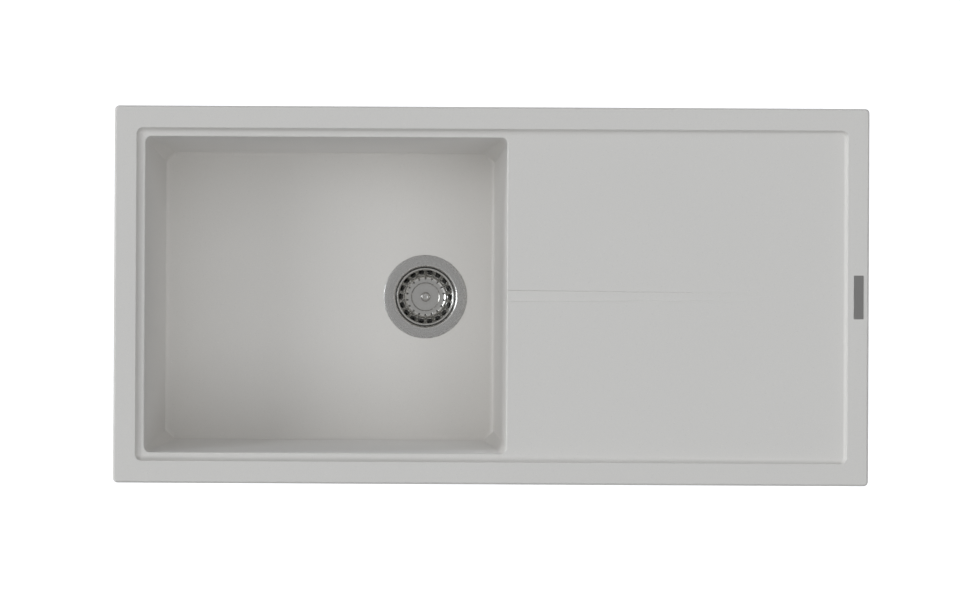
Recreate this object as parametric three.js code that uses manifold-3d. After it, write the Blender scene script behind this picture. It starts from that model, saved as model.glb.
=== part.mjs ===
// Kitchen sink with drainboard, for dropping into a worktop cut-out.
// A composite moulding carries a basket strainer waste, a bare badge plate, a rim seal and
// eight swing-out worktop claws.
//
// Millimetres, +Z up. The origin is the centre of the rim, on the plane of the rim's underside,
// which is where the sink sits on the worktop. The front edge faces -Y and the bowl is at -X.
import * as THREE from "three";
import { mergeVertices } from "three/addons/utils/BufferGeometryUtils.js";
import Module from "manifold-3d";

// ---------------------------------------------------------------- driving dimensions

// Rim: the flat border that rests on the worktop.
const rimLength = 1000;
const rimWidth = 500;
const rimThickness = 8;
const rimCornerRadius = 6;
const rimEdgeBevel = 1.4;

// Skirt: the downturned wall that drops into the cut-out.
const skirtInset = 14;
const skirtThickness = 6;
const skirtDepth = 22;

// Recess: the lowered field that holds the bowl and the drainboard.
const recessMargin = 28.5;
const recessCornerRadius = 9.5;
const recessFootCornerRadius = 1;
const recessDepth = 5;
const recessSlopeDegrees = 60;
const recessFillet = 8;
const boardFall = 2;
const boardThickness = 9;

// Drainboard groove: deepest at the bowl, running out to nothing.
const grooveWidth = 13.2;
const grooveEndWidth = 9;
const grooveDepth = 1.2;
const grooveLength = 355;
const grooveSideSlope = 1.4;

// Bowl. Its width is what the rim leaves, once the clips have room beside its walls.
const bowlLength = 480;
const bowlDepth = 200;
const bowlCornerRadius = 7.5;
const bowlFootCornerRadius = 12;
const bowlFootFillet = 7.5;
const bowlFootCreaseDegrees = 45; // the fillet's slope where the wall stands on it
const bowlDraftDegrees = 4.7;
const bowlEdgeBevel = 1.6;
const bowlFloorFall = 3;
const bowlWallThickness = 9;
const bowlFloorThickness = 10;

// Drain hole in the bowl floor.
const drainFromBowlEnd = 110;
const drainHoleDiameter = 90;
const drainSeatDepth = 1.6;

// Waste flange: a pressed steel ring and cup.
const flangeOverlap = 11.5; // how far the flange reaches past the drain hole all round
const flangeDiameter = drainHoleDiameter + 2 * flangeOverlap;
const flangeSheet = 1;
const cupMouthDiameter = 88.6;
const cupDiameter = 82;
const cupDepth = 40;
const cupFloorDiameter = 54;
const wasteSlotCount = 6;
const wasteSlotInnerRadius = 10;
const wasteSlotOuterRadius = 19;
const wasteSlotBridge = 5;

// Gaskets above and below the bowl floor.
const upperGasketThickness = 1;
const lowerGasketThickness = 3;
const gasketWidth = 8;
const gasketFromEdge = 1; // from the flange's edge above, and from the drain hole's edge below

// Waste body: the moulded chamber under the bowl, and the outlet tail welded on beneath it.
const wasteBodyWall = 2.6;
const wasteChamberDepth = 56;
const outletDiameter = 47.8;
const outletBore = 39;
const outletLength = 26;
const outletThreadPitch = 2.8;
const outletThreadDepth = 0.9;
const outletThreadTurns = 5;
const tailFlangeDiameter = 57;
const tailFlangeThickness = 3;
const spokeCount = 3;
const spokeThickness = 4;
const hubDiameter = 19;
const hubHeight = 16;

// Centre bolt, which clamps the flange to the waste body, and its threaded insert.
const boltDiameter = 6;
const boltHeadDiameter = 13;
const boltHeadHeight = 7;
const boltLength = 20;
const boltSocketDepth = 6;
const boltSlotWidth = 1.6;
const boltSlotDepth = 2;
const insertDiameter = 10;
const insertHeight = 12;

// Strainer basket.
const basketLipDiameter = 78;
const basketTopDiameter = 73.6;
const basketFootDiameter = 47.2;
const basketHeight = 23.2;
const basketSheet = 0.8;
const basketLipDrop = 4;
const basketSlotCount = 18;
const basketRibWidth = 2.8;
const basketSlotTop = 6.4;
const basketSlotBottom = 17.2;
const basketHoleDiameter = 2.2;
const basketHoleRing = 50;
const basketPanelDiameter = 37.4;
const basketPanelRise = 0.8;

// Knob, stem and seal of the basket.
const knobDiameter = 11.6;
const knobNeckDiameter = 8.4;
const knobHeight = 10;
const stemDiameter = 6;
const stemInKnob = 6;
const stemInSocket = 4.6;
const stemCollarDiameter = 10;
const stemCollarHeight = 1.2;
const sealDiameter = 50;
const sealSheet = 2;
const sealHubDiameter = 18;

// Badge plate, left bare.
const badgeLength = 58;
const badgeWidth = 13.4;
const badgeThickness = 1;
const badgeProud = 0.2;
const badgeFromEdge = 13.7;

// Rim seal: a foam strip in a groove in the rim's underside.
const rimSealWidth = 6;
const rimSealHeight = 1.5;
const rimSealFromEdge = 2.2;

// Worktop clips: a swing-out claw on a screw in a dowel.
const bossDiameter = 14;
const bossFromSkirt = 8.5;
const bossFromCorner = 100;
const dowelDiameter = 8;
const dowelDepth = 20;
const dowelBore = 5.2;
const dowelFlangeDiameter = 11;
const dowelFlangeHeight = 1.4;
const screwDiameter = 4.5;
const screwHeadDiameter = 9;
const screwHeadHeight = 3;
const screwThreadPitch = 3.2;
const screwThreadDepth = 0.45;
const screwEngagement = 4;
const clawLength = 28;
const clawWidth = 13;
const clawSheet = 2;
const clawToothHeight = 4;
const clawToothCount = 3;
const clawClampHeight = 42;
const clawClearance = 2.5; // between a parked claw and the bowl's wall
const crossRecessWidth = 1.1;
const crossRecessLength = 5;
const crossRecessDepth = 1.8;

// Fits.
const fitGap = 0.3; // between a piece and the hole or groove that it goes into
const seatGap = 0.1; // between faces that press on each other

// Facets.
const rimCornerSteps = 5;
const bowlCornerSteps = 6;
const bowlSideSteps = 5;
const wasteSteps = 48;
const smallSteps = 16;
const clipSteps = 12;

// ---------------------------------------------------------------- places worked out from them

const rimTop = rimThickness;
const boardEndZ = rimTop - recessDepth;
const ledgeZ = boardEndZ - boardFall;
const boardUnderZ = ledgeZ - boardThickness;
const recessSlopeDrop =
  rimTop - ledgeZ - recessFillet * (1 - Math.cos(THREE.MathUtils.degToRad(recessSlopeDegrees)));
const recessRun =
  recessSlopeDrop / Math.tan(THREE.MathUtils.degToRad(recessSlopeDegrees)) +
  recessFillet * Math.sin(THREE.MathUtils.degToRad(recessSlopeDegrees));
const recessFootX = rimLength / 2 - recessMargin - recessRun;
const recessFootY = rimWidth / 2 - recessMargin - recessRun;
const bossFromEdge = skirtInset + bossFromSkirt;
const bowlMargin = bossFromEdge + clawWidth / 2 + clawClearance + bowlWallThickness;
const bowlWidth = rimWidth - 2 * bowlMargin;
const bowlCentreX = -rimLength / 2 + bowlMargin + bowlLength / 2;
const bowlEndX = bowlCentreX + bowlLength / 2;
const drainZ = ledgeZ - bowlDepth;
const bowlFloorEdgeZ = drainZ + bowlFloorFall;
const drainUnderZ = drainZ - bowlFloorThickness;
const drainX = bowlEndX - drainFromBowlEnd;
const flangeTopZ =
  drainZ - drainSeatDepth + upperGasketThickness + 2 * seatGap + flangeSheet;
const cupFloorZ = flangeTopZ - cupDepth;
const basketTopZ = flangeTopZ - basketLipDrop;
const basketFloorZ = basketTopZ - basketHeight;
const basketUnderZ = basketFloorZ - basketSheet + basketPanelRise;
const skirtX = rimLength / 2 - skirtInset;
const skirtY = rimWidth / 2 - skirtInset;
const above = 2; // how far a cutter reaches past the face that it cuts

// ---------------------------------------------------------------- shape helpers

const wasm = await Module();
wasm.setup();

/** A closed three.js geometry as a solid that can be joined and cut. */
function solid(geometry) {
  const bare = geometry.index ? geometry.toNonIndexed() : geometry.clone();
  bare.deleteAttribute("normal");
  bare.deleteAttribute("uv");
  const merged = mergeVertices(bare, 1e-4);
  const corners = merged.index.array;
  const kept = [];
  for (let i = 0; i < corners.length; i += 3) {
    const [a, b, c] = [corners[i], corners[i + 1], corners[i + 2]];
    if (a !== b && b !== c && c !== a) kept.push(a, b, c);
  }
  return new wasm.Manifold(
    new wasm.Mesh({
      numProp: 3,
      vertProperties: merged.attributes.position.array,
      triVerts: new Uint32Array(kept),
    }),
  );
}

/** A joined and cut solid as a three.js geometry again. */
function geometryOf(manifold) {
  const { numProp, vertProperties, triVerts, numVert } = manifold.getMesh();
  const positions = new Float32Array(numVert * 3);
  for (let i = 0; i < numVert; i++)
    positions.set(vertProperties.subarray(i * numProp, i * numProp + 3), i * 3);
  const indexed = new THREE.BufferGeometry()
    .setAttribute("position", new THREE.BufferAttribute(positions, 3))
    .setIndex(new THREE.BufferAttribute(new Uint32Array(triVerts), 1));
  const flat = indexed.toNonIndexed();
  flat.computeVertexNormals();
  return flat;
}

const joined = (solids) => solids.reduce((all, next) => all.add(next));

/** A corner ring of a rounded rectangle, anticlockwise, with each straight side cut into steps. */
function roundedRing(
  length,
  width,
  radius,
  z,
  centreX = 0,
  cornerSteps = rimCornerSteps,
  sideSteps = 1,
) {
  const corners = [];
  for (let quarter = 0; quarter < 4; quarter++) {
    const signX = quarter === 0 || quarter === 3 ? 1 : -1;
    const signY = quarter < 2 ? 1 : -1;
    for (let i = 0; i <= cornerSteps; i++) {
      const angle = ((quarter + i / cornerSteps) * Math.PI) / 2;
      corners.push(
        new THREE.Vector3(
          centreX + signX * (length / 2 - radius) + radius * Math.cos(angle),
          signY * (width / 2 - radius) + radius * Math.sin(angle),
          z,
        ),
      );
    }
  }
  return corners.flatMap((corner, i) => {
    const next = corners[(i + 1) % corners.length];
    const endsASide = (i + 1) % (cornerSteps + 1) === 0;
    const steps = endsASide ? sideSteps : 1;
    return Array.from({ length: steps }, (_, k) => corner.clone().lerp(next, k / steps));
  });
}

/** The points of a circle about (x, y) that face each point of another ring. */
function circleFacing(ring, x, y, radius, z) {
  return ring.map((point) => {
    const angle = Math.atan2(point.y - y, point.x - x);
    return new THREE.Vector3(x + radius * Math.cos(angle), y + radius * Math.sin(angle), z);
  });
}

/** A closed skin through rings of equal point counts, given from the lowest to the highest. */
function loft(rings) {
  const count = rings[0].length;
  const last = (rings.length - 1) * count;
  const index = [];
  for (let ring = 0; ring < rings.length - 1; ring++)
    for (let i = 0; i < count; i++) {
      const low = ring * count + i;
      const lowNext = ring * count + ((i + 1) % count);
      index.push(low, lowNext, lowNext + count, low, lowNext + count, low + count);
    }
  for (let i = 1; i < count - 1; i++) {
    index.push(0, i + 1, i);
    index.push(last, last + i, last + i + 1);
  }
  const positions = rings.flat().flatMap((point) => point.toArray());
  return new THREE.BufferGeometry()
    .setAttribute("position", new THREE.Float32BufferAttribute(positions, 3))
    .setIndex(index);
}

/** An upright block with a rounded outline, from z to z + height. */
const roundedBlock = (length, width, radius, z, height, centreX = 0) =>
  solid(
    loft([
      roundedRing(length, width, radius, z, centreX),
      roundedRing(length, width, radius, z + height, centreX),
    ]),
  );

/** An upright box by its centre in plan, from z to z + height. */
const box = (length, width, height, x, y, z) =>
  solid(new THREE.BoxGeometry(length, width, height).translate(x, y, z + height / 2));

/** An upright cylinder from z to z + height. */
const cylinder = (diameter, height, x, y, z, steps = smallSteps) =>
  solid(
    new THREE.CylinderGeometry(diameter / 2, diameter / 2, height, steps)
      .rotateX(Math.PI / 2)
      .translate(x, y, z + height / 2),
  );

/** A turned solid about the Z axis. The profile is [radius, z] points, outside first, downwards. */
function turned(profile, steps) {
  const points = profile.map(([radius, z]) => new THREE.Vector2(radius, z));
  const made = solid(new THREE.LatheGeometry(points, steps).rotateX(Math.PI / 2));
  return made.volume() > 0
    ? made
    : solid(new THREE.LatheGeometry(points.reverse(), steps).rotateX(Math.PI / 2));
}

/** The closed section of a sheet of one thickness, from the [radius, z] points of one of its faces. */
function sheetSection(face, thickness) {
  const points = face.map(([radius, z]) => new THREE.Vector2(radius, z));
  const normals = points.slice(1).map((point, i) => {
    const along = point.clone().sub(points[i]).normalize();
    return new THREE.Vector2(-along.y, along.x);
  });
  const back = points.map((point, i) => {
    const before = normals[Math.max(i - 1, 0)];
    const after = normals[Math.min(i, normals.length - 1)];
    const mitre = before.clone().add(after).normalize();
    return point.clone().addScaledVector(mitre, thickness / mitre.dot(after));
  });
  return [...points, ...back.reverse(), points[0]].map((point) => [point.x, point.y]);
}

/** Copies of a solid turned about the Z axis. */
const aroundZ = (made, count, firstDegrees = 0) =>
  joined(
    Array.from({ length: count }, (_, i) => made.rotate([0, 0, firstDegrees + (i * 360) / count])),
  );

/** The flat plate of a THREE.Shape, from z to z + height. */
const plate = (shape, z, height, curveSegments = smallSteps) =>
  solid(
    new THREE.ExtrudeGeometry(shape, { depth: height, bevelEnabled: false, curveSegments }).translate(
      0,
      0,
      z,
    ),
  );

/** A screw's ridged radius: [radius, z] points going down from zTop, one ridge a pitch. */
function ridges(outerRadius, depth, pitch, zTop, count) {
  const points = [];
  for (let i = 0; i < count; i++) {
    const z = zTop - i * pitch;
    points.push([outerRadius - depth, z], [outerRadius, z - pitch / 2]);
  }
  points.push([outerRadius - depth, zTop - count * pitch]);
  return points;
}

// ---------------------------------------------------------------- materials

const paint = (color, roughness, metalness) =>
  new THREE.MeshStandardMaterial({ color, roughness, metalness });
const composite = paint(0xcbcac5, 0.62, 0);
const brushedSteel = paint(0x9c9c9a, 0.34, 1);
const polishedSteel = paint(0xb4b4b2, 0.2, 1);
const zincSteel = paint(0xa9abae, 0.42, 1);
const brass = paint(0xb08d4a, 0.35, 1);
const rubber = paint(0x26272a, 0.8, 0);
const foam = paint(0x3a3b3d, 0.95, 0);
const wastePlastic = paint(0xe4e4e0, 0.5, 0);
const nylon = paint(0xd8d6cc, 0.55, 0);

const sink = new THREE.Group();

/** Adds one named piece, at a place in plan, to the sink or to a group of it. */
function addPiece(name, made, material, x = 0, y = 0, parent = sink) {
  const mesh = new THREE.Mesh(geometryOf(made), material);
  mesh.name = name;
  mesh.position.set(x, y, 0);
  parent.add(mesh);
}

// ---------------------------------------------------------------- worktop clip places

const sideBossX = rimLength / 2 - bossFromCorner;
const sideBossY = rimWidth / 2 - bossFromEdge;
const endBossX = rimLength / 2 - bossFromEdge;
const clipPlaces = [
  { name: "front_left", x: -sideBossX, y: -sideBossY, outward: -90 },
  { name: "front_middle", x: 0, y: -sideBossY, outward: -90 },
  { name: "front_right", x: sideBossX, y: -sideBossY, outward: -90 },
  { name: "back_left", x: -sideBossX, y: sideBossY, outward: 90 },
  { name: "back_middle", x: 0, y: sideBossY, outward: 90 },
  { name: "back_right", x: sideBossX, y: sideBossY, outward: 90 },
  { name: "left_end", x: -endBossX, y: 0, outward: 180 },
  { name: "right_end", x: endBossX, y: 0, outward: 0 },
];

// ---------------------------------------------------------------- sink moulding

const draft = Math.tan(THREE.MathUtils.degToRad(bowlDraftDegrees));
const bowlFootCrease = THREE.MathUtils.degToRad(90 - bowlFootCreaseDegrees);
const bowlFootHeight = bowlFootFillet * (1 - Math.sin(bowlFootCrease));
const bowlWallHeight = ledgeZ - bowlEdgeBevel - (bowlFloorEdgeZ + bowlFootHeight);

/** A ring of the bowl: inset from its mouth, with its own corner radius. */
const bowlRing = (inset, radius, z) =>
  roundedRing(
    bowlLength - 2 * inset,
    bowlWidth - 2 * inset,
    radius,
    z,
    bowlCentreX,
    bowlCornerSteps,
    bowlSideSteps,
  );

/** The rings of a drafted bowl wall and its foot fillet, from the foot up to zTop. */
function bowlWallRings(grow, footZ, fillet, crease, zTop) {
  const creaseInset = bowlWallHeight * draft - grow;
  const footRadius = bowlFootCornerRadius + grow;
  const shares = [1, 2 / 3, 1 / 3, 0];
  const foot = shares.map((share) => {
    const angle = crease + (Math.PI / 2 - crease) * share;
    const inward = fillet * (Math.cos(crease) - Math.cos(angle));
    const radius = Math.max(footRadius - inward, 2);
    return bowlRing(creaseInset + inward, radius, footZ + fillet * (1 - Math.sin(angle)));
  });
  return [...foot, bowlRing(-grow, bowlCornerRadius + grow, zTop)];
}

/** The space inside the bowl, with its sloping floor and its bevelled mouth. */
function bowlSpace() {
  const rimOfWall = ledgeZ - bowlEdgeBevel;
  const wall = bowlWallRings(0, bowlFloorEdgeZ, bowlFootFillet, bowlFootCrease, rimOfWall);
  const sump = circleFacing(wall[0], drainX, 0, flangeDiameter / 2 + fitGap, drainZ);
  const mouth = [ledgeZ, rimTop + above].map((z) =>
    bowlRing(-bowlEdgeBevel, bowlCornerRadius + bowlEdgeBevel, z),
  );
  return solid(loft([sump, ...wall, ...mouth]));
}

/** The outside of the bowl, with a flat underside. */
const bowlShell = () =>
  solid(
    loft(
      bowlWallRings(
        bowlWallThickness,
        drainUnderZ,
        bowlFootFillet + bowlWallThickness,
        0,
        ledgeZ - boardThickness / 2,
      ),
    ),
  );

/** The lowered field: a slope and a hollow fillet all round, over a board that falls to the bowl. */
function recessSpace() {
  const filletAngles = [0, recessSlopeDegrees / 2, recessSlopeDegrees].map(THREE.MathUtils.degToRad);
  const foot = filletAngles.map((angle) => {
    const outward = recessFillet * Math.sin(angle);
    return roundedRing(
      2 * (recessFootX + outward),
      2 * (recessFootY + outward),
      recessFootCornerRadius + outward,
      ledgeZ + recessFillet * (1 - Math.cos(angle)),
    );
  });
  const brim = [rimTop, rimTop + above].map((z) =>
    roundedRing(
      rimLength - 2 * recessMargin,
      rimWidth - 2 * recessMargin,
      recessCornerRadius,
      z,
    ),
  );
  const sideView = new THREE.Shape([
    new THREE.Vector2(-rimLength, ledgeZ),
    new THREE.Vector2(bowlEndX, ledgeZ),
    new THREE.Vector2(recessFootX, boardEndZ),
    new THREE.Vector2(rimLength, boardEndZ),
    new THREE.Vector2(rimLength, rimTop + 2 * above),
    new THREE.Vector2(-rimLength, rimTop + 2 * above),
  ]);
  const overBoard = new THREE.ExtrudeGeometry(sideView, { depth: rimWidth, bevelEnabled: false })
    .rotateX(Math.PI / 2)
    .translate(0, rimWidth / 2, 0);
  return solid(loft([...foot, ...brim])).intersect(solid(overBoard));
}

/** The drainboard's height at x, right of the bowl. */
function boardZ(x) {
  return ledgeZ + (boardFall * (x - bowlEndX)) / (recessFootX - bowlEndX);
}

/** The groove: a tapering wedge that runs from the bowl's mouth out to the board's surface. */
function grooveSpace() {
  const section = (x, width, z) => {
    const top = width / 2 + grooveSideSlope;
    const sideZ = boardZ(x) + fitGap;
    return [
      new THREE.Vector3(x, width / 2, z),
      new THREE.Vector3(x, top, sideZ),
      new THREE.Vector3(x, top, rimTop),
      new THREE.Vector3(x, -top, rimTop),
      new THREE.Vector3(x, -top, sideZ),
      new THREE.Vector3(x, -width / 2, z),
    ];
  };
  const startX = bowlEndX - bowlEdgeBevel;
  const endX = bowlEndX + grooveLength;
  return solid(
    loft([
      section(startX, grooveWidth, ledgeZ - grooveDepth),
      section(endX, grooveEndWidth, boardZ(endX)),
    ]),
  );
}

/** The lugs that hold the clips' dowels, each built out to the skirt. */
const clipBosses = () =>
  joined(
    clipPlaces.map(({ x, y, outward }) => {
      const height = skirtDepth + above;
      const lug = cylinder(bossDiameter, height, 0, 0, -skirtDepth).add(
        box(bossFromSkirt, bossDiameter, height, bossFromSkirt / 2, 0, -skirtDepth),
      );
      return lug.rotate([0, 0, outward]).translate([x, y, 0]);
    }),
  );

/** A closed ring channel inside the rim's outline. */
function ringBlock(fromEdge, width, z, height) {
  const block = (inset, low, tall) =>
    roundedBlock(
      rimLength - 2 * inset,
      rimWidth - 2 * inset,
      Math.max(rimCornerRadius - inset, 1),
      low,
      tall,
    );
  return block(fromEdge, z, height).subtract(
    block(fromEdge + width, z - above, height + 2 * above),
  );
}

const badgeX = rimLength / 2 - badgeFromEdge;

function sinkMoulding() {
  const rim = solid(
    loft([
      roundedRing(rimLength, rimWidth, rimCornerRadius, 0),
      roundedRing(rimLength, rimWidth, rimCornerRadius, rimTop - rimEdgeBevel),
      roundedRing(
        rimLength - 2 * rimEdgeBevel,
        rimWidth - 2 * rimEdgeBevel,
        rimCornerRadius - rimEdgeBevel,
        rimTop,
      ),
    ]),
  );
  const board = roundedBlock(
    2 * skirtX,
    2 * skirtY,
    rimCornerRadius,
    boardUnderZ,
    ledgeZ - boardUnderZ,
  );
  const skirt = ringBlock(skirtInset, skirtThickness, -skirtDepth, skirtDepth + boardUnderZ + above);
  const inside = [
    bowlSpace(),
    recessSpace(),
    grooveSpace(),
    cylinder(
      flangeDiameter + 2 * fitGap,
      drainSeatDepth + above,
      drainX,
      0,
      drainZ - drainSeatDepth,
      wasteSteps,
    ),
    cylinder(
      drainHoleDiameter,
      bowlFloorThickness + 2 * above,
      drainX,
      0,
      drainUnderZ - above,
      wasteSteps,
    ),
    box(
      badgeWidth + 2 * fitGap,
      badgeLength + 2 * fitGap,
      badgeThickness + above,
      badgeX,
      0,
      rimTop + badgeProud - badgeThickness - seatGap,
    ),
    ringBlock(
      rimSealFromEdge - fitGap,
      rimSealWidth + 2 * fitGap,
      -above,
      above + rimSealHeight + seatGap,
    ),
    ...clipPlaces.map(({ x, y }) =>
      cylinder(dowelDiameter + 2 * fitGap, dowelDepth + above, x, y, -skirtDepth - above),
    ),
  ];
  return joined([rim, board, skirt, bowlShell(), clipBosses()]).subtract(joined(inside));
}

addPiece("sink_body", sinkMoulding(), composite);

addPiece("rim_seal", ringBlock(rimSealFromEdge, rimSealWidth, 0, rimSealHeight), foam);

addPiece(
  "badge_plate",
  box(badgeWidth, badgeLength, badgeThickness, 0, 0, rimTop + badgeProud - badgeThickness),
  brushedSteel,
  badgeX,
);

// ---------------------------------------------------------------- waste

/** Curved slots through the cup's floor, one between each pair of bridges. */
function wasteSlots() {
  const middle = (wasteSlotInnerRadius + wasteSlotOuterRadius) / 2;
  const half = Math.PI / wasteSlotCount - wasteSlotBridge / (2 * middle);
  const slot = new THREE.Shape();
  slot.absarc(0, 0, wasteSlotOuterRadius, -half, half, false);
  slot.absarc(0, 0, wasteSlotInnerRadius, half, -half, true);
  slot.closePath();
  const cutter = plate(slot, cupFloorZ - flangeSheet - above, flangeSheet + 2 * above, 8);
  return aroundZ(cutter, wasteSlotCount);
}

/** The steel flange, its rolled mouth, the cup and the cup's slotted floor. */
function wasteFlange() {
  const cupRadius = cupDiameter / 2;
  const mouth = (cupMouthDiameter - cupDiameter) / 2;
  const face = [
    [boltDiameter / 2 + fitGap, cupFloorZ],
    [cupFloorDiameter / 2, cupFloorZ],
    [cupRadius - 6.5, cupFloorZ + 1.6],
    [cupRadius - 2.2, cupFloorZ + 4.8],
    [cupRadius - 0.6, cupFloorZ + 9],
    [cupRadius, flangeTopZ - mouth],
    [cupRadius + mouth * 0.16, flangeTopZ - mouth * 0.5],
    [cupRadius + mouth * 0.48, flangeTopZ - mouth * 0.16],
    [cupRadius + mouth, flangeTopZ],
    [flangeDiameter / 2, flangeTopZ],
  ];
  return turned(sheetSection(face, -flangeSheet), wasteSteps).subtract(wasteSlots());
}

/** A flat ring from an inner radius out by a width. */
const flatRing = (innerRadius, width, z, height) =>
  turned(
    [
      [innerRadius, z],
      [innerRadius + width, z],
      [innerRadius + width, z + height],
      [innerRadius, z + height],
      [innerRadius, z],
    ],
    wasteSteps,
  );

const lowerGasketRadius = drainHoleDiameter / 2 + gasketFromEdge; // its inner edge
const lowerGasketZ = drainUnderZ - seatGap - lowerGasketThickness;
const wasteBodyTopZ = lowerGasketZ - seatGap;
const hubTopZ = cupFloorZ - flangeSheet - seatGap;
const chamberRadius = drainHoleDiameter / 2 - wasteBodyWall;
const chamberFloorZ = wasteBodyTopZ - wasteChamberDepth;
const outletTopZ = chamberFloorZ - wasteBodyWall;
const outletEndZ = outletTopZ - outletLength;

/** The moulded chamber, with the spoked hub that takes the centre bolt. */
function wasteBody() {
  const flangeRadius = lowerGasketRadius + gasketWidth;
  const outerRadius = chamberRadius + wasteBodyWall;
  const boreRadius = outletBore / 2;
  const flangeHeight = 4;
  const shoulder = 10;
  const shell = turned(
    [
      [chamberRadius, wasteBodyTopZ],
      [chamberRadius, chamberFloorZ + shoulder * 1.4],
      [chamberRadius - shoulder * 0.6, chamberFloorZ + shoulder * 0.5],
      [boreRadius + 1.5, chamberFloorZ],
      [boreRadius, chamberFloorZ - 1.5],
      [boreRadius, outletTopZ],
      [tailFlangeDiameter / 2, outletTopZ],
      [outerRadius - shoulder * 0.5, chamberFloorZ + shoulder * 0.3],
      [outerRadius, chamberFloorZ + shoulder * 1.2],
      [outerRadius, wasteBodyTopZ - flangeHeight],
      [flangeRadius, wasteBodyTopZ - flangeHeight],
      [flangeRadius, wasteBodyTopZ],
      [chamberRadius, wasteBodyTopZ],
    ],
    wasteSteps,
  );
  const spokeReach = chamberRadius + wasteBodyWall / 2;
  const spoke = box(
    spokeReach,
    spokeThickness,
    hubHeight * 0.8,
    spokeReach / 2,
    0,
    hubTopZ - hubHeight,
  );
  const hub = cylinder(hubDiameter, hubHeight, 0, 0, hubTopZ - hubHeight);
  const insertHole = cylinder(
    insertDiameter + 2 * fitGap,
    insertHeight + seatGap + above,
    0,
    0,
    hubTopZ - insertHeight - seatGap,
  );
  const boltHole = cylinder(boltDiameter + 2 * fitGap, hubHeight + above, 0, 0, hubTopZ - hubHeight - 1);
  return shell.add(hub).add(aroundZ(spoke, spokeCount, 90)).subtract(insertHole).subtract(boltHole);
}

/** The outlet tail: a flange against the chamber's floor and a threaded spigot for the trap. */
function wasteTail() {
  const radius = outletDiameter / 2;
  const root = radius - outletThreadDepth;
  const topZ = outletTopZ - seatGap;
  const flangeFootZ = topZ - tailFlangeThickness;
  const thread = ridges(radius, outletThreadDepth, outletThreadPitch, flangeFootZ - 2, outletThreadTurns);
  return turned(
    [
      [outletBore / 2, topZ],
      [outletBore / 2, outletEndZ],
      [root, outletEndZ],
      ...thread.reverse(),
      [root, flangeFootZ],
      [tailFlangeDiameter / 2, flangeFootZ],
      [tailFlangeDiameter / 2, topZ],
      [outletBore / 2, topZ],
    ],
    wasteSteps,
  );
}

/** The slotted bolt, with the socket in its head that takes the basket's stem. */
function centreBolt() {
  const headZ = cupFloorZ + seatGap;
  const headTop = headZ + boltHeadHeight;
  const radius = boltDiameter / 2;
  const socket = stemDiameter / 2 + fitGap;
  const bolt = turned(
    [
      [0, headTop - boltSocketDepth],
      [socket, headTop - boltSocketDepth],
      [socket, headTop],
      [boltHeadDiameter / 2 - 0.8, headTop],
      [boltHeadDiameter / 2, headTop - 0.8],
      [boltHeadDiameter / 2, headZ],
      [radius, headZ],
      [radius, headZ - boltLength + 1],
      [radius - 1, headZ - boltLength],
      [0, headZ - boltLength],
    ],
    smallSteps,
  );
  const slot = box(
    boltHeadDiameter + above,
    boltSlotWidth,
    boltSlotDepth + above,
    0,
    0,
    headTop - boltSlotDepth,
  );
  return bolt.subtract(slot);
}

/** The threaded insert in the hub: a knurled drum with a bore. */
const boltInsert = () =>
  flatRing(
    boltDiameter / 2 + fitGap,
    (insertDiameter - boltDiameter) / 2 - fitGap,
    hubTopZ - insertHeight,
    insertHeight - seatGap,
  );

addPiece("waste_flange", wasteFlange(), brushedSteel, drainX);
addPiece(
  "upper_gasket",
  flatRing(
    flangeDiameter / 2 - gasketWidth - gasketFromEdge,
    gasketWidth,
    drainZ - drainSeatDepth + seatGap,
    upperGasketThickness,
  ),
  rubber,
  drainX,
);
addPiece(
  "lower_gasket",
  flatRing(lowerGasketRadius, gasketWidth, lowerGasketZ, lowerGasketThickness),
  rubber,
  drainX,
);
addPiece("waste_body", wasteBody(), wastePlastic, drainX);
addPiece("outlet_tail", wasteTail(), wastePlastic, drainX);
addPiece("centre_bolt", centreBolt(), zincSteel, drainX);
addPiece("bolt_insert", boltInsert(), brass, drainX);

// ---------------------------------------------------------------- strainer basket

/** The pressed basket: a lip, a slotted wall that curves in, and a raised panel in its floor. */
function basketCup() {
  const topRadius = basketTopDiameter / 2;
  const footRadius = basketFootDiameter / 2;
  const lean = topRadius - footRadius;
  const panelRadius = basketPanelDiameter / 2;
  const face = [
    [stemDiameter / 2 + fitGap, basketFloorZ + basketPanelRise],
    [panelRadius - 0.6, basketFloorZ + basketPanelRise],
    [panelRadius + 0.6, basketFloorZ],
    [footRadius - 1.6, basketFloorZ],
    [footRadius, basketFloorZ + basketHeight * 0.02],
    [footRadius + lean * 0.15, basketFloorZ + basketHeight * 0.07],
    [footRadius + lean * 0.27, basketFloorZ + basketHeight * 0.155],
    [footRadius + lean * 0.59, basketFloorZ + basketHeight * 0.44],
    [footRadius + lean * 0.82, basketFloorZ + basketHeight * 0.725],
    [topRadius, basketTopZ - 0.9],
    [topRadius + 0.6, basketTopZ],
    [basketLipDiameter / 2, basketTopZ],
  ];
  const halfPitch = Math.PI / basketSlotCount;
  const halfSlot = (x) => x * Math.tan(halfPitch) - basketRibWidth / 2 / Math.cos(halfPitch);
  const slotEnds = [footRadius, basketLipDiameter / 2 + above];
  const slot = plate(
    new THREE.Shape([
      ...slotEnds.map((x) => new THREE.Vector2(x, -halfSlot(x))),
      ...slotEnds.reverse().map((x) => new THREE.Vector2(x, halfSlot(x))),
    ]),
    basketTopZ - basketSlotBottom,
    basketSlotBottom - basketSlotTop,
  );
  const hole = cylinder(
    basketHoleDiameter,
    3 * above,
    basketHoleRing / 2,
    0,
    basketFloorZ - basketSheet - above / 2,
    8,
  );
  return turned(sheetSection(face, -basketSheet), 2 * basketSlotCount)
    .subtract(aroundZ(slot, basketSlotCount))
    .subtract(aroundZ(hole, basketSlotCount, 180 / basketSlotCount));
}

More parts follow.
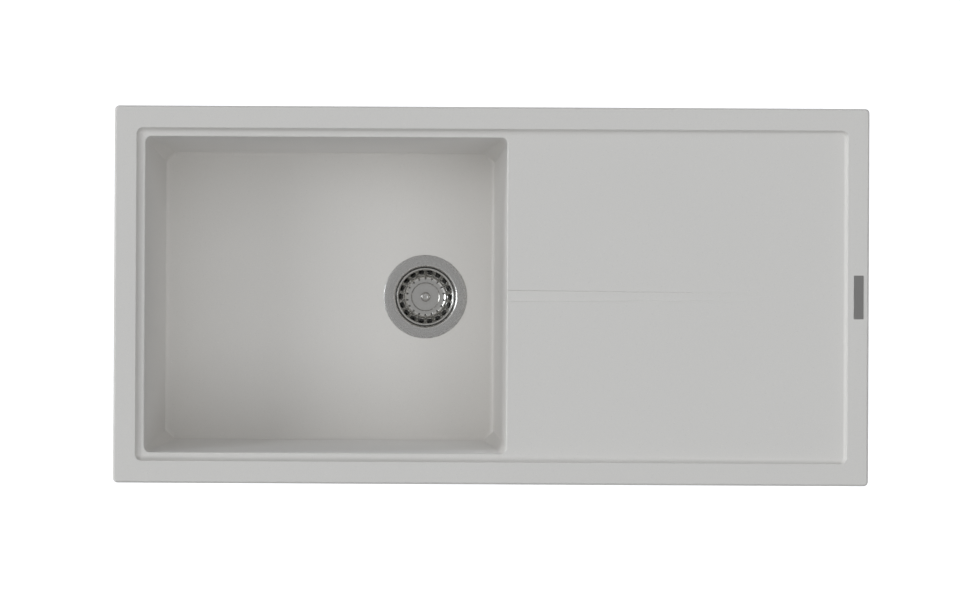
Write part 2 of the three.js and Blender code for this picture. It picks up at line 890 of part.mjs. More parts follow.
const knobFootZ = basketFloorZ + basketPanelRise + seatGap;
const stemTopZ = knobFootZ + stemInKnob;

/** The pull knob, with a dished top and a blind hole for the stem. */
function basketKnob() {
  const radius = knobDiameter / 2;
  const neck = knobNeckDiameter / 2;
  const top = knobFootZ + knobHeight;
  const bore = stemDiameter / 2 + fitGap;
  return turned(
    [
      [0, top - 0.7],
      [radius * 0.5, top - 0.7],
      [radius * 0.6, top],
      [radius * 0.84, top],
      [radius, top - 0.9],
      [radius, top - knobHeight * 0.3],
      [neck, top - knobHeight * 0.45],
      [neck, knobFootZ + 1.4],
      [radius, knobFootZ + 0.6],
      [radius, knobFootZ],
      [bore, knobFootZ],
      [bore, stemTopZ + fitGap],
      [0, stemTopZ + fitGap],
    ],
    smallSteps + 4,
  );
}

const sealTopZ = basketUnderZ - seatGap;
const stemCollarZ = sealTopZ - sealSheet - seatGap - stemCollarHeight;
const boltHeadTopZ = cupFloorZ + seatGap + boltHeadHeight;

/** The nylon stem that carries the basket and clicks into the centre bolt. */
const basketStem = () => {
  const radius = stemDiameter / 2;
  const collar = stemCollarDiameter / 2;
  const end = boltHeadTopZ - stemInSocket;
  return turned(
    [
      [0, stemTopZ],
      [radius, stemTopZ],
      [radius, stemCollarZ + stemCollarHeight],
      [collar, stemCollarZ + stemCollarHeight],
      [collar, stemCollarZ],
      [radius, stemCollarZ],
      [radius, end + 1.5],
      [radius - 1, end],
      [0, end],
    ],
    smallSteps,
  );
};

/** The rubber skirt under the basket that closes the slotted cup floor. */
function basketSeal() {
  const radius = sealDiameter / 2;
  const hub = sealHubDiameter / 2;
  const footZ = cupFloorZ + seatGap;
  const bore = stemDiameter / 2 + fitGap;
  return turned(
    [
      [bore, sealTopZ],
      [hub, sealTopZ],
      [hub + 5, sealTopZ - 2],
      [radius - 1, footZ + 1.6],
      [radius, footZ + 0.6],
      [radius, footZ],
      [radius - 2.4, footZ],
      [hub + 4, sealTopZ - sealSheet - 1.9],
      [hub - 0.5, sealTopZ - sealSheet],
      [bore, sealTopZ - sealSheet],
      [bore, sealTopZ],
    ],
    2 * smallSteps,
  );
}

addPiece("basket_cup", basketCup(), polishedSteel, drainX);
addPiece("basket_knob", basketKnob(), polishedSteel, drainX);
addPiece("basket_stem", basketStem(), nylon, drainX);
addPiece("basket_seal", basketSeal(), rubber, drainX);

// ---------------------------------------------------------------- worktop clips

const clawTopZ = -clawClampHeight; // the teeth's tips, with the screw at its loosest
const clawPlateZ = clawTopZ - clawToothHeight - clawSheet;
const screwTipZ = -skirtDepth + screwEngagement;

/** The nylon dowel in the boss, with its collar below the boss. */
const dowel = () =>
  turned(
    [
      [dowelBore / 2, -skirtDepth - seatGap - dowelFlangeHeight],
      [dowelFlangeDiameter / 2, -skirtDepth - seatGap - dowelFlangeHeight],
      [dowelFlangeDiameter / 2, -skirtDepth - seatGap],
      [dowelDiameter / 2, -skirtDepth - seatGap],
      [dowelDiameter / 2, -skirtDepth + dowelDepth - fitGap],
      [dowelBore / 2, -skirtDepth + dowelDepth - fitGap],
      [dowelBore / 2, -skirtDepth - seatGap - dowelFlangeHeight],
    ],
    clipSteps,
  );

/** The clamp screw: a domed head with a cross recess, and a ridged shank up into the dowel. */
function clampScrew() {
  const headTop = clawPlateZ - seatGap;
  const headFoot = headTop - screwHeadHeight;
  const headRadius = screwHeadDiameter / 2;
  const radius = screwDiameter / 2;
  const turns = Math.floor((screwTipZ - clawPlateZ - clawSheet - 6) / screwThreadPitch);
  const body = turned(
    [
      [0, screwTipZ],
      ...ridges(radius, screwThreadDepth, screwThreadPitch, screwTipZ - 1.2, turns),
      [radius - screwThreadDepth, headTop],
      [headRadius, headTop],
      [headRadius, headFoot + screwHeadHeight * 0.55],
      [headRadius * 0.66, headFoot],
      [0, headFoot],
    ],
    clipSteps,
  );
  const arm = box(crossRecessLength, crossRecessWidth, crossRecessDepth + above, 0, 0, headFoot - above);
  return body.subtract(arm).subtract(arm.rotate([0, 0, 90]));
}

/** The stamped claw, along +X from the screw that it turns on, with upturned teeth at its end. */
function claw() {
  const half = clawWidth / 2;
  const reach = clawLength - clawSheet;
  const outline = new THREE.Shape();
  outline.moveTo(clawLength, -half);
  outline.lineTo(clawLength, half);
  outline.lineTo(0, half);
  outline.absarc(0, 0, half, Math.PI / 2, (3 * Math.PI) / 2, false);
  outline.closePath();
  const hole = new THREE.Path();
  hole.absarc(0, 0, screwDiameter / 2 + fitGap, 0, 2 * Math.PI, true);
  outline.holes.push(hole);
  const toothPitch = clawWidth / clawToothCount;
  const comb = [new THREE.Vector2(-half, clawPlateZ)];
  for (let i = 0; i < clawToothCount; i++)
    comb.push(
      new THREE.Vector2(-half + i * toothPitch, clawPlateZ + clawSheet + clawToothHeight * 0.35),
      new THREE.Vector2(-half + (i + 0.3) * toothPitch, clawTopZ),
      new THREE.Vector2(-half + (i + 0.7) * toothPitch, clawTopZ),
    );
  comb.push(
    new THREE.Vector2(half, clawPlateZ + clawSheet + clawToothHeight * 0.35),
    new THREE.Vector2(half, clawPlateZ),
  );
  const teeth = new THREE.ExtrudeGeometry(new THREE.Shape(comb), { depth: clawSheet, bevelEnabled: false })
    .rotateX(Math.PI / 2)
    .rotateZ(Math.PI / 2)
    .translate(reach, 0, 0);
  const spine = box(
    reach - half,
    clawSheet * 1.5,
    clawSheet,
    (reach + half) / 2,
    0,
    clawPlateZ + clawSheet / 2,
  );
  return plate(outline, clawPlateZ, clawSheet, smallSteps / 2).add(solid(teeth)).add(spine);
}

const parts = { dowel: dowel(), screw: clampScrew(), claw: claw() };
const parkedTurn = -90; // the claw lies along the skirt until it is swung out

for (const { name, x, y, outward } of clipPlaces) {
  addPiece(`dowel_${name}`, parts.dowel, nylon, x, y);
  addPiece(`clamp_screw_${name}`, parts.screw, zincSteel, x, y);
  addPiece(`claw_${name}`, parts.claw.rotate([0, 0, outward + parkedTurn]), zincSteel, x, y);
}

export default sink;
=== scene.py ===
"""Looks for an inset kitchen sink with a drainboard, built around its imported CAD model.

Sizes are in millimetres in the CAD model's own frame, and become metres where a mesh is made. The
origin is the centre of the rim, on the plane of its underside. +X runs to the drainboard end, +Y to the
back edge and +Z up.
"""
import logging
import math
from collections.abc import Callable, Mapping, Sequence
from dataclasses import dataclass, field
from enum import Enum
from typing import Union

import bmesh
import bpy
from mathutils import Matrix, Vector


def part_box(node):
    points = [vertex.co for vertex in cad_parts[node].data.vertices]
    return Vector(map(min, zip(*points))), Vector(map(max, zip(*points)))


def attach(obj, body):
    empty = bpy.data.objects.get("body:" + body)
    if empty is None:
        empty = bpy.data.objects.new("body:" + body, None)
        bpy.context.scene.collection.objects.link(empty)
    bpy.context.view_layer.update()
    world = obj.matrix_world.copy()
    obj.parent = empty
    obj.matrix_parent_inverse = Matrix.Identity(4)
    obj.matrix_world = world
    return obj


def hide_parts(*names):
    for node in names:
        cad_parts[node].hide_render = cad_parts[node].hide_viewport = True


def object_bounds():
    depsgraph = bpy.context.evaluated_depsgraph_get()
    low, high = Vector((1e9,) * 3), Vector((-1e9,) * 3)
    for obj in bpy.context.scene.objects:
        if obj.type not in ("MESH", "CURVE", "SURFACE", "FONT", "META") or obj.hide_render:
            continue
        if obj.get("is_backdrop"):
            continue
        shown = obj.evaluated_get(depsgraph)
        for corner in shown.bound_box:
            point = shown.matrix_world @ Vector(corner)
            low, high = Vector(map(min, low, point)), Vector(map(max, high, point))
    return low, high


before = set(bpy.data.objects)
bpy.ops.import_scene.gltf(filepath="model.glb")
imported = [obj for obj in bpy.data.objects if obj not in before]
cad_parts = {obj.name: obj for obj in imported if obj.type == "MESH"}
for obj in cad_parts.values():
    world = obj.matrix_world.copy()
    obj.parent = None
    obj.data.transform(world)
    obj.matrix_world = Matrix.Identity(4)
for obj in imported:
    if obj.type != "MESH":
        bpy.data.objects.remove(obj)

LOG = logging.getLogger("sink")
MM = 0.001
CREASE_DEGREES = 32.0  # edges that turn by more than this stay sharp, unless a piece says otherwise

Point = tuple[float, float, float]
Flat = tuple[float, float]
Colour = tuple[float, float, float, float]
Value = Union[float, Sequence[float], "Signal", bpy.types.NodeSocket]

WHITE: Colour = (1.0, 1.0, 1.0, 1.0)
DAYLIGHT: Colour = (0.915, 0.953, 1.0, 1.0)


class Slot(Enum):
    """The record's material slots."""

    COMPOSITE = "composite"
    BRUSHED_STEEL = "brushed_steel"
    POLISHED_STEEL = "polished_steel"
    WASTE_PLASTIC = "waste_plastic"


def srgb(red: int, green: int, blue: int) -> Colour:
    """A colour as it looks on screen, as the linear colour that a shader takes.

    Args:
        red: Red from 0 to 255.
        green: Green from 0 to 255.
        blue: Blue from 0 to 255.

    Returns:
        Linear red, green and blue, and an alpha of 1.
    """

    def linear(level: int) -> float:
        """One channel, by the sRGB curve."""
        share = level / 255
        return share / 12.92 if share <= 0.04045 else ((share + 0.055) / 1.055) ** 2.4

    return (linear(red), linear(green), linear(blue), 1.0)


def shade(colour: Colour, factor: float) -> Colour:
    """A colour made lighter or darker by a factor."""
    return (*(channel * factor for channel in colour[:3]), 1.0)


# ---------------------------------------------------------------- shader maths


class Signal:
    """A shader value that arithmetic can be written with: each operation adds a Math node."""

    def __init__(self, graph: "Graph", socket: bpy.types.NodeSocket) -> None:
        """Keeps the node tree that the value is in, and the socket that gives it."""
        self.graph = graph
        self.socket = socket

    def maths(self, operation: str, *others: Value, clamp: bool = False) -> "Signal":
        """A Math node of this value and others.

        Args:
            operation: The Math node's operation.
            others: The values of its further inputs.
            clamp: Whether the result is kept from 0 to 1.

        Returns:
            The node's result.
        """
        values = dict(enumerate((self, *others)))
        made = self.graph.node("ShaderNodeMath", {"operation": operation, "use_clamp": clamp}, values)
        return Signal(self.graph, made.outputs[0])

    def __add__(self, other: Value) -> "Signal":
        """This value plus another."""
        return self.maths("ADD", other)

    def __radd__(self, other: Value) -> "Signal":
        """Another value plus this one."""
        return self.maths("ADD", other)

    def __sub__(self, other: Value) -> "Signal":
        """This value minus another."""
        return self.maths("SUBTRACT", other)

    def __rsub__(self, other: Value) -> "Signal":
        """Another value minus this one."""
        return (self * -1.0).maths("ADD", other)

    def __mul__(self, other: Value) -> "Signal":
        """This value times another."""
        return self.maths("MULTIPLY", other)

    def __rmul__(self, other: Value) -> "Signal":
        """Another value times this one."""
        return self.maths("MULTIPLY", other)

    def __truediv__(self, other: Value) -> "Signal":
        """This value divided by another."""
        return self.maths("DIVIDE", other)

    def power(self, exponent: float) -> "Signal":
        """This value raised to an exponent."""
        return self.maths("POWER", exponent)

    def step(self, low: float, high: float) -> "Signal":
        """A smooth rise over a stretch of this value.

        Args:
            low: Where it is 0.
            high: Where it is 1.

        Returns:
            The rise.
        """
        settings = {"interpolation_type": "SMOOTHSTEP"}
        inputs = {"Value": self, "From Min": low, "From Max": high}
        return Signal(self.graph, self.graph.node("ShaderNodeMapRange", settings, inputs).outputs[0])


class Graph:
    """A node tree in the making, of a material or of the world."""

    def __init__(self, tree: bpy.types.NodeTree) -> None:
        """Takes a node tree and empties it."""
        self.tree = tree
        self.tree.nodes.clear()

    def node(
        self,
        kind: str,
        settings: Mapping[str, object] | None = None,
        inputs: Mapping[str | int, Value] | None = None,
    ) -> bpy.types.Node:
        """Adds one node.

        Args:
            kind: The node's Blender type.
            settings: Its properties, which are set first.
            inputs: The values or links of its input sockets, by name or by number.

        Returns:
            The node.
        """
        made = self.tree.nodes.new(kind)
        for name, value in (settings or {}).items():
            setattr(made, name, value)
        for name, value in (inputs or {}).items():
            self.feed(made.inputs[name], value)
        return made

    def feed(self, socket: bpy.types.NodeSocket, value: Value) -> None:
        """Sets an input socket to a plain value, or links it.

        Args:
            socket: The input socket.
            value: A number, a list of numbers, a signal or an output socket.
        """
        if isinstance(value, Signal):
            self.tree.links.new(value.socket, socket)
        elif isinstance(value, bpy.types.NodeSocket):
            self.tree.links.new(value, socket)
        else:
            socket.default_value = value

    def split(self, vector: Value) -> tuple[Signal, Signal, Signal]:
        """The three parts of a vector.

        Args:
            vector: The vector.

        Returns:
            x, y and z.
        """
        parts = self.node("ShaderNodeSeparateXYZ", inputs={0: vector})
        return tuple(Signal(self, output) for output in parts.outputs)

    def rays(self) -> tuple[Signal, Signal, Signal]:
        """What kind of ray is being answered.

        Returns:
            Whether it is the camera's, a glossy one and a transmitted one.
        """
        path = self.node("ShaderNodeLightPath")
        kinds = ("Camera", "Glossy", "Transmission")
        return tuple(Signal(self, path.outputs[f"Is {kind} Ray"]) for kind in kinds)


class Shader(Graph):
    """One procedural material in the making, around a Principled shader."""

    def __init__(self, name: str) -> None:
        """Makes an empty material with its Principled shader and output.

        Args:
            name: The material's name.
        """
        self.material = bpy.data.materials.new(name)
        self.material.use_nodes = True
        super().__init__(self.material.node_tree)
        self.principled = self.node("ShaderNodeBsdfPrincipled")
        self.output = self.node("ShaderNodeOutputMaterial", inputs={"Surface": self.principled.outputs[0]})
        self.place = self.node("ShaderNodeTexCoord").outputs["Object"]

    def axes(self, centre: Flat = (0.0, 0.0)) -> tuple[Signal, Signal, Signal]:
        """The place on the surface, in metres, as three signals.

        Args:
            centre: The point in plan that x and y are counted from, in millimetres.

        Returns:
            x, y and z.
        """
        shift = (-centre[0] * MM, -centre[1] * MM, 0.0)
        moved = self.node("ShaderNodeVectorMath", {"operation": "ADD"}, {0: self.place, 1: shift})
        return self.split(moved.outputs[0])

    def noise(self, scale: float, detail: float = 2.0, vector: Value | None = None) -> Signal:
        """Fractal noise from 0 to 1.

        Args:
            scale: Features in a metre.
            detail: Octaves.
            vector: Where it is read, if not at the place on the surface.

        Returns:
            The noise.
        """
        inputs = {"Vector": self.place if vector is None else vector, "Scale": scale, "Detail": detail}
        return Signal(self, self.node("ShaderNodeTexNoise", inputs=inputs).outputs[0])

    def cells(self, scale: float, output: str = "Distance") -> Signal:
        """Voronoi cells.

        Args:
            scale: Cells in a metre.
            output: The output that is read.

        Returns:
            That output.
        """
        inputs = {"Vector": self.place, "Scale": scale}
        return Signal(self, self.node("ShaderNodeTexVoronoi", inputs=inputs).outputs[output])

    def vector(self, x: Value, y: Value, z: Value) -> bpy.types.NodeSocket:
        """Three values as one vector."""
        return self.node("ShaderNodeCombineXYZ", inputs={0: x, 1: y, 2: z}).outputs[0]

    def mix(self, share: Value, first: Value, second: Value) -> bpy.types.NodeSocket:
        """Two colours mixed.

        Args:
            share: How much of the second there is, from 0 to 1.
            first: The first colour.
            second: The second colour.

        Returns:
            The mixed colour.
        """
        made = self.node("ShaderNodeMix", {"data_type": "RGBA"}, {0: share, 6: first, 7: second})
        return made.outputs[2]

    def tone(self, share: Value, colour: Colour, tones: Flat) -> bpy.types.NodeSocket:
        """A colour that runs from a darker tone of itself to a lighter one.

        Args:
            share: How far along it is, from 0 to 1.
            colour: The colour.
            tones: The factors of its darkest and its lightest tone.

        Returns:
            The colour's tone.
        """
        return self.mix(share, *(shade(colour, factor) for factor in tones))

    def bump(self, height: Value, distance_mm: float, strength: float = 1.0) -> bpy.types.NodeSocket:
        """A surface relief.

        Args:
            height: The relief, from 0 to 1.
            distance_mm: Its depth, in millimetres.
            strength: How much of it shows.

        Returns:
            The normal that it gives.
        """
        inputs = {"Height": height, "Distance": distance_mm * MM, "Strength": strength}
        return self.node("ShaderNodeBump", inputs=inputs).outputs[0]

    def finish(self, **sockets: Value) -> bpy.types.Material:
        """Feeds the Principled shader.

        Args:
            sockets: Its inputs by name, with _ for a space.

        Returns:
            The material.
        """
        for name, value in sockets.items():
            self.feed(self.principled.inputs[name.replace("_", " ")], value)
        return self.material


# ---------------------------------------------------------------- finishes


@dataclass(frozen=True)
class CompositeFinish:
    """Quartz sand in pale resin, moulded matt: a fine grain with sparse flecks."""

    name: str = "quartz composite"
    colour: Colour = srgb(209, 205, 199)
    grain_per_m: float = 1300.0
    grain_tones: Flat = (0.95, 1.05)
    fleck_per_m: float = 1500.0
    dark_fleck_rise: Flat = (0.86, 0.95)
    dark_fleck_share: float = 0.22
    dark_fleck_tone: float = 0.55
    pale_fleck_rise: Flat = (0.84, 0.95)
    pale_fleck_share: float = 0.3
    pale_fleck_tone: float = 1.25
    cloud_per_m: float = 5.0
    cloud_rise: Flat = (0.3, 0.7)
    cloud_share: float = 0.5
    cloud_tone: float = 0.985
    roughness: float = 0.52
    specular: float = 0.42
    sheen: float = 0.32
    sheen_roughness: float = 0.45
    relief_mm: float = 0.05

    def material(self) -> bpy.types.Material:
        """Makes the material: grain, flecks and a faint cloudiness, with the grain in the relief too.

        Returns:
            The material.
        """
        shader = Shader(self.name)
        grain = shader.noise(self.grain_per_m, 3.0)
        cloud = shader.noise(self.cloud_per_m, 2.0)
        fleck = shader.cells(self.fleck_per_m, "Color")
        dark_fleck = fleck.step(*self.dark_fleck_rise)
        pale_fleck = (1.0 - fleck).step(*self.pale_fleck_rise)
        body = shader.tone(grain, self.colour, self.grain_tones)
        clouded = cloud.step(*self.cloud_rise) * self.cloud_share
        body = shader.mix(clouded, body, shade(self.colour, self.cloud_tone))
        body = shader.mix(dark_fleck * self.dark_fleck_share, body, shade(self.colour, self.dark_fleck_tone))
        body = shader.mix(pale_fleck * self.pale_fleck_share, body, shade(self.colour, self.pale_fleck_tone))
        relief = grain + shader.noise(2.6 * self.grain_per_m, 1.0) * 0.5
        return shader.finish(
            Base_Color=body,
            Roughness=self.roughness + grain * 0.1 + cloud * 0.06 - 0.08,
            Specular_IOR_Level=self.specular,
            Sheen_Weight=self.sheen,
            Sheen_Roughness=self.sheen_roughness,
            Normal=shader.bump(relief, self.relief_mm, 0.6),
        )


@dataclass(frozen=True)
class TurnedSteelFinish:
    """Stainless steel that is brushed or polished in rings around an upright axis."""

    name: str
    centre: Flat
    colour: Colour = srgb(202, 201, 199)
    roughness: float = 0.26
    ring_per_m: float = 2600.0
    ring_tones: Flat = (0.95, 1.04)
    relief_mm: float = 0.005
    smear_per_m: float = 70.0
    smear_rise: Flat = (0.45, 0.75)
    smear_share: float = 0.3
    smear_tone: float = 0.92
    smear_roughness: float = 0.05

    def material(self) -> bpy.types.Material:
        """Makes the material: fine rings in the relief and the roughness, under faint smears.

        Returns:
            The material.
        """
        shader = Shader(self.name)
        x, y, z = shader.axes(self.centre)
        radius = (x * x + y * y).power(0.5)
        across = shader.vector(radius, z, x.maths("ARCTAN2", y) * 0.004)
        rings = shader.noise(self.ring_per_m, 2.0, across)
        smear = shader.noise(self.smear_per_m, 3.0)
        tone = shader.tone(rings, self.colour, self.ring_tones)
        smeared = smear.step(*self.smear_rise) * self.smear_share
        tone = shader.mix(smeared, tone, shade(self.colour, self.smear_tone))
        return shader.finish(
            Base_Color=tone,
            Metallic=1.0,
            Roughness=self.roughness + rings * 0.07 + smear * self.smear_roughness - 0.05,
            Normal=shader.bump(rings, self.relief_mm, 0.5),
        )


@dataclass(frozen=True)
class BrushedPlateFinish:
    """Steel sheet brushed in straight lines along Y."""

    name: str = "brushed plate"
    colour: Colour = srgb(156, 155, 153)
    roughness: float = 0.36
    line_per_m: float = 5200.0
    line_stretch: float = 0.012
    line_tones: Flat = (0.88, 1.1)
    relief_mm: float = 0.01
    smear_per_m: float = 60.0

    def material(self) -> bpy.types.Material:
        """Makes the material: lines in the relief and the roughness.

        Returns:
            The material.
        """
        shader = Shader(self.name)
        x, y, z = shader.axes()
        lines = shader.noise(self.line_per_m, 2.0, shader.vector(x, y * self.line_stretch, z))
        smear = shader.noise(self.smear_per_m, 3.0)
        return shader.finish(
            Base_Color=shader.tone(lines, self.colour, self.line_tones),
            Metallic=1.0,
            Roughness=self.roughness + lines * 0.12 + smear * 0.06 - 0.08,
            Normal=shader.bump(lines, self.relief_mm, 0.5),
        )


@dataclass(frozen=True)
class ZincFinish:
    """Zinc-plated steel: a faint spangle with duller, slightly yellow stains."""

    name: str = "zinc plate"
    colour: Colour = srgb(182, 184, 188)
    stain: Colour = srgb(168, 160, 140)
    spangle_per_m: float = 420.0
    spangle_tones: Flat = (0.88, 1.08)
    stain_per_m: float = 90.0
    stain_rise: Flat = (0.52, 0.78)
    stain_share: float = 0.5
    grain_per_m: float = 1500.0
    relief_mm: float = 0.012
    roughness: float = 0.34

    def material(self) -> bpy.types.Material:
        """Makes the material: a spangle of cells and cloudy stains.

        Returns:
            The material.
        """
        shader = Shader(self.name)
        spangle = shader.cells(self.spangle_per_m, "Color")
        stain = shader.noise(self.stain_per_m, 4.0).step(*self.stain_rise)
        fine = shader.noise(self.grain_per_m, 2.0)
        tone = shader.tone(spangle, self.colour, self.spangle_tones)
        tone = shader.mix(stain * self.stain_share, tone, self.stain)
        return shader.finish(
            Base_Color=tone,
            Metallic=1.0,
            Roughness=self.roughness + spangle * 0.1 + stain * 0.16,
            Normal=shader.bump(fine, self.relief_mm, 0.6),
        )


@dataclass(frozen=True)
class BrassFinish:
    """Machined brass with a dull film."""

    name: str = "turned brass"
    colour: Colour = srgb(196, 160, 92)
    film: Colour = srgb(140, 108, 62)
    film_per_m: float = 160.0
    film_rise: Flat = (0.4, 0.75)
    film_share: float = 0.7
    mark_per_m: float = 2200.0
    relief_mm: float = 0.01
    roughness: float = 0.28

    def material(self) -> bpy.types.Material:
        """Makes the material: a film in patches over fine turning marks.

        Returns:
            The material.
        """
        shader = Shader(self.name)
        film = shader.noise(self.film_per_m, 4.0).step(*self.film_rise)
        fine = shader.noise(self.mark_per_m, 2.0)
        return shader.finish(
            Base_Color=shader.mix(film * self.film_share, self.colour, self.film),
            Metallic=1.0,
            Roughness=self.roughness + film * 0.22,
            Normal=shader.bump(fine, self.relief_mm, 0.5),
        )


@dataclass(frozen=True)
class MouldedFinish:
    """A moulded plastic or rubber with a fine texture and a little dust in cloudy patches."""

    name: str
    colour: Colour
    roughness: float
    texture_per_m: float = 1400.0
    relief_mm: float = 0.02
    cloud_per_m: float = 28.0
    cloud_tones: Flat = (0.92, 1.06)
    dust_rise: Flat = (0.5, 0.8)
    dust_share: float = 0.08
    dust_colour: Colour = srgb(190, 187, 180)

    def material(self) -> bpy.types.Material:
        """Makes the material: texture, uneven tone and dust.

        Returns:
            The material.
        """
        shader = Shader(self.name)
        texture = shader.noise(self.texture_per_m, 3.0)
        cloud = shader.noise(self.cloud_per_m, 3.0)
        tone = shader.tone(cloud, self.colour, self.cloud_tones)
        tone = shader.mix(cloud.step(*self.dust_rise) * self.dust_share, tone, self.dust_colour)
        return shader.finish(
            Base_Color=tone,
            Roughness=self.roughness + texture * 0.1 + cloud * 0.08 - 0.08,
            Normal=shader.bump(texture, self.relief_mm, 0.6),
        )


@dataclass(frozen=True)
class FoamFinish:
    """Closed-cell foam: a dark skin pitted with small cells."""

    name: str = "closed cell foam"
    colour: Colour = srgb(62, 62, 64)
    cell_per_m: float = 1500.0
    wall_rise: Flat = (0.15, 0.5)
    # darkest and lightest tone: the pits are painted darker as painted shade, and their rims lighter
    pit_shade_tones: Flat = (0.6, 1.15)
    relief_mm: float = 0.15
    roughness: float = 0.85

    def material(self) -> bpy.types.Material:
        """Makes the material: open cells, with painted shade inside them.

        Returns:
            The material.
        """
        shader = Shader(self.name)
        pit = shader.cells(self.cell_per_m)
        wall = pit.step(*self.wall_rise)
        return shader.finish(
            # painted shade: the colour darkens towards the middle of each pit
            Base_Color=shader.tone(wall, self.colour, self.pit_shade_tones),
            Roughness=self.roughness + wall * 0.1,
            Normal=shader.bump(wall, self.relief_mm, 0.7),
        )


# ---------------------------------------------------------------- mesh making


def place(name: str, data: bpy.types.ID) -> bpy.types.Object:
    """Makes an object and puts it in the scene.

    Args:
        name: Its name.
        data: Its mesh, light or camera.

    Returns:
        The object.
    """
    made = bpy.data.objects.new(name, data)
    bpy.context.scene.collection.objects.link(made)
    return made


def between(first: Sequence[Point], second: Sequence[Point], share: float, rise: float) -> list[Point]:
    """An outline part of the way from one to another.

    Args:
        first: The one's points.
        second: The other's points.
        share: How far along it lies in plan, from 0 to 1.
        rise: How far along it lies in height, from 0 to 1.

    Returns:
        Its points.
    """
    shares = (share, share, rise)
    return [tuple(a + (b - a) * s for a, b, s in zip(p, q, shares)) for p, q in zip(first, second)]


def rounded_path(corners: Sequence[Point], steps: int = 4) -> list[Flat]:
    """A polyline with arcs at its corners.

    Args:
        corners: Each corner's two coordinates and its radius. The ends stay sharp.
        steps: Straight pieces in each arc.

    Returns:
        The polyline's points.
    """
    path = [corners[0][:2]]
    for before, corner, after in zip(corners, corners[1:], corners[2:]):
        here = Vector(corner[:2])
        back = Vector(before[:2]) - here
        ahead = Vector(after[:2]) - here
        radius = corner[2]
        half = back.angle(ahead, math.pi) / 2
        if radius <= 0 or half > math.pi / 2 - 1e-3:
            path.append(tuple(here))
            continue
        reach = min(radius / math.tan(half), 0.49 * back.length, 0.49 * ahead.length)
        radius = reach * math.tan(half)
        centre = here + (back.normalized() + ahead.normalized()).normalized() * (radius / math.sin(half))
        start = here + back.normalized() * reach - centre
        turn = start.angle_signed(here + ahead.normalized() * reach - centre)
        for i in range(steps + 1):
            spun = Matrix.Rotation(-turn * i / steps, 2) @ start
            path.append(tuple(centre + spun))
    path.append(corners[-1][:2])
    return path


@dataclass
class Skin:
    """The points and faces of one mesh, gathered ring by ring, in millimetres."""

    points: list[Point] = field(default_factory=list)
    faces: list[tuple[int, ...]] = field(default_factory=list)

    def ring(self, points: Sequence[Point]) -> list[int]:
        """Adds points.

        Args:
            points: The points.

        Returns:
            Their numbers.
        """
        first = len(self.points)
        self.points.extend(points)
        return list(range(first, first + len(points)))

    def bridge(
        self, low: Sequence[int], high: Sequence[int], keep: Callable[[int], bool] | None = None
    ) -> None:
        """Joins two closed rings of equal counts with quads.

        Args:
            low: The first ring's point numbers.
            high: The second ring's point numbers.
            keep: Tells by a quad's place in the ring whether it is made. All are, if it is left out.
        """
        count = len(low)
        for i in range(count):
            if keep is None or keep(i):
                self.faces.append((low[i], low[(i + 1) % count], high[(i + 1) % count], high[i]))

    def stack(self, rings: Sequence[Sequence[Point]], start: Sequence[int] | None = None) -> list[int]:
        """Adds rings one after another, each joined to the one before.

        Args:
            rings: The rings' points.
            start: A ring that is there already, to join the first one to.

        Returns:
            The last ring's point numbers.
        """
        last = start
        for ring in rings:
            new = self.ring(ring)
            if last is not None:
                self.bridge(last, new)
            last = new
        return list(last)

    def fill(self, loop: Sequence[int]) -> None:
        """Closes a flat loop of points with one face."""
        self.faces.append(tuple(loop))

    def turn(self, profile: Sequence[Flat], centre: Flat, steps: int) -> None:
        """Turns a closed section about an upright axis.

        Args:
            profile: The section's radii and heights. A radius of 0 at either end closes there.
            centre: The axis in plan.
            steps: Facets round the axis.
        """
        closed = profile[0][0] > 0
        rings = []
        for radius, z in profile:
            if radius <= 0:
                rings.append([self.ring([(*centre, z)])[0]] * steps)
            else:
                rings.append(self.ring(circle(centre, radius, z, steps)))
        pairs = list(zip(rings, rings[1:]))
        if closed:
            pairs.append((rings[-1], rings[0]))
        for low, high in pairs:
            self.bridge(low, high)

    def wind(
        self, centre: Flat, radius: float, depth: float, pitch: float, foot: float, turns: float
    ) -> None:
        """Winds a screw thread's ridge round an upright axis.

        Args:
            centre: The axis in plan.
            radius: The ridge's outer radius.
            depth: Its height above the core.
            pitch: Its rise in a turn.
            foot: The height that it starts at.
            turns: How many turns it makes.
        """
        steps, fading, overlap = 24, 6, 0.3
        root_half, crest_half = 0.42, 0.08  # half the ridge's width at its root and crest, in pitches
        count = int(turns * steps)
        root = radius - depth - overlap
        last = None
        for i in range(count + 1):
            angle = 2 * math.pi * i / steps
            crest = radius - depth * (1 - min(1.0, i / fading, (count - i) / fading))
            z = foot + pitch * i / steps
            section = [(root, root_half), (crest, crest_half), (crest, -crest_half), (root, -root_half)]
            new = self.ring([(*polar(centre, r, angle), z + share * pitch) for r, share in section])
            if last is None:
                self.fill(new)
            else:
                self.bridge(last, new)
            last = new
        self.fill(last[::-1])

    def mesh(self, name: str, crease: float = CREASE_DEGREES) -> bpy.types.Mesh:
        """Makes the mesh alone.

        Args:
            name: The mesh's name.
            crease: Edges that turn by more degrees than this stay sharp.

        Returns:
            The mesh.
        """
        mesh = bpy.data.meshes.new(name)
        points = [tuple(MM * c for c in point) for point in self.points]
        faces = [tuple(dict.fromkeys(face)) for face in self.faces]
        mesh.from_pydata(points, [], [face for face in faces if len(face) > 2])
        tidy_mesh(mesh, crease)
        return mesh

    def build(
        self, name: str, body: str, look: bpy.types.Material, crease: float = CREASE_DEGREES
    ) -> bpy.types.Object:
        """Makes the mesh and its object.

        Args:
            name: The piece's name.
            body: The CAD body that it rides on.
            look: Its material.
            crease: Edges that turn by more degrees than this stay sharp.

        Returns:
            The object.
        """
        mesh = self.mesh(name, crease)
        made = place(name, mesh)
        made.modifiers.new("even shading", "WEIGHTED_NORMAL").keep_sharp = True
        mesh.materials.append(look)
        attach(made, body)
        return made


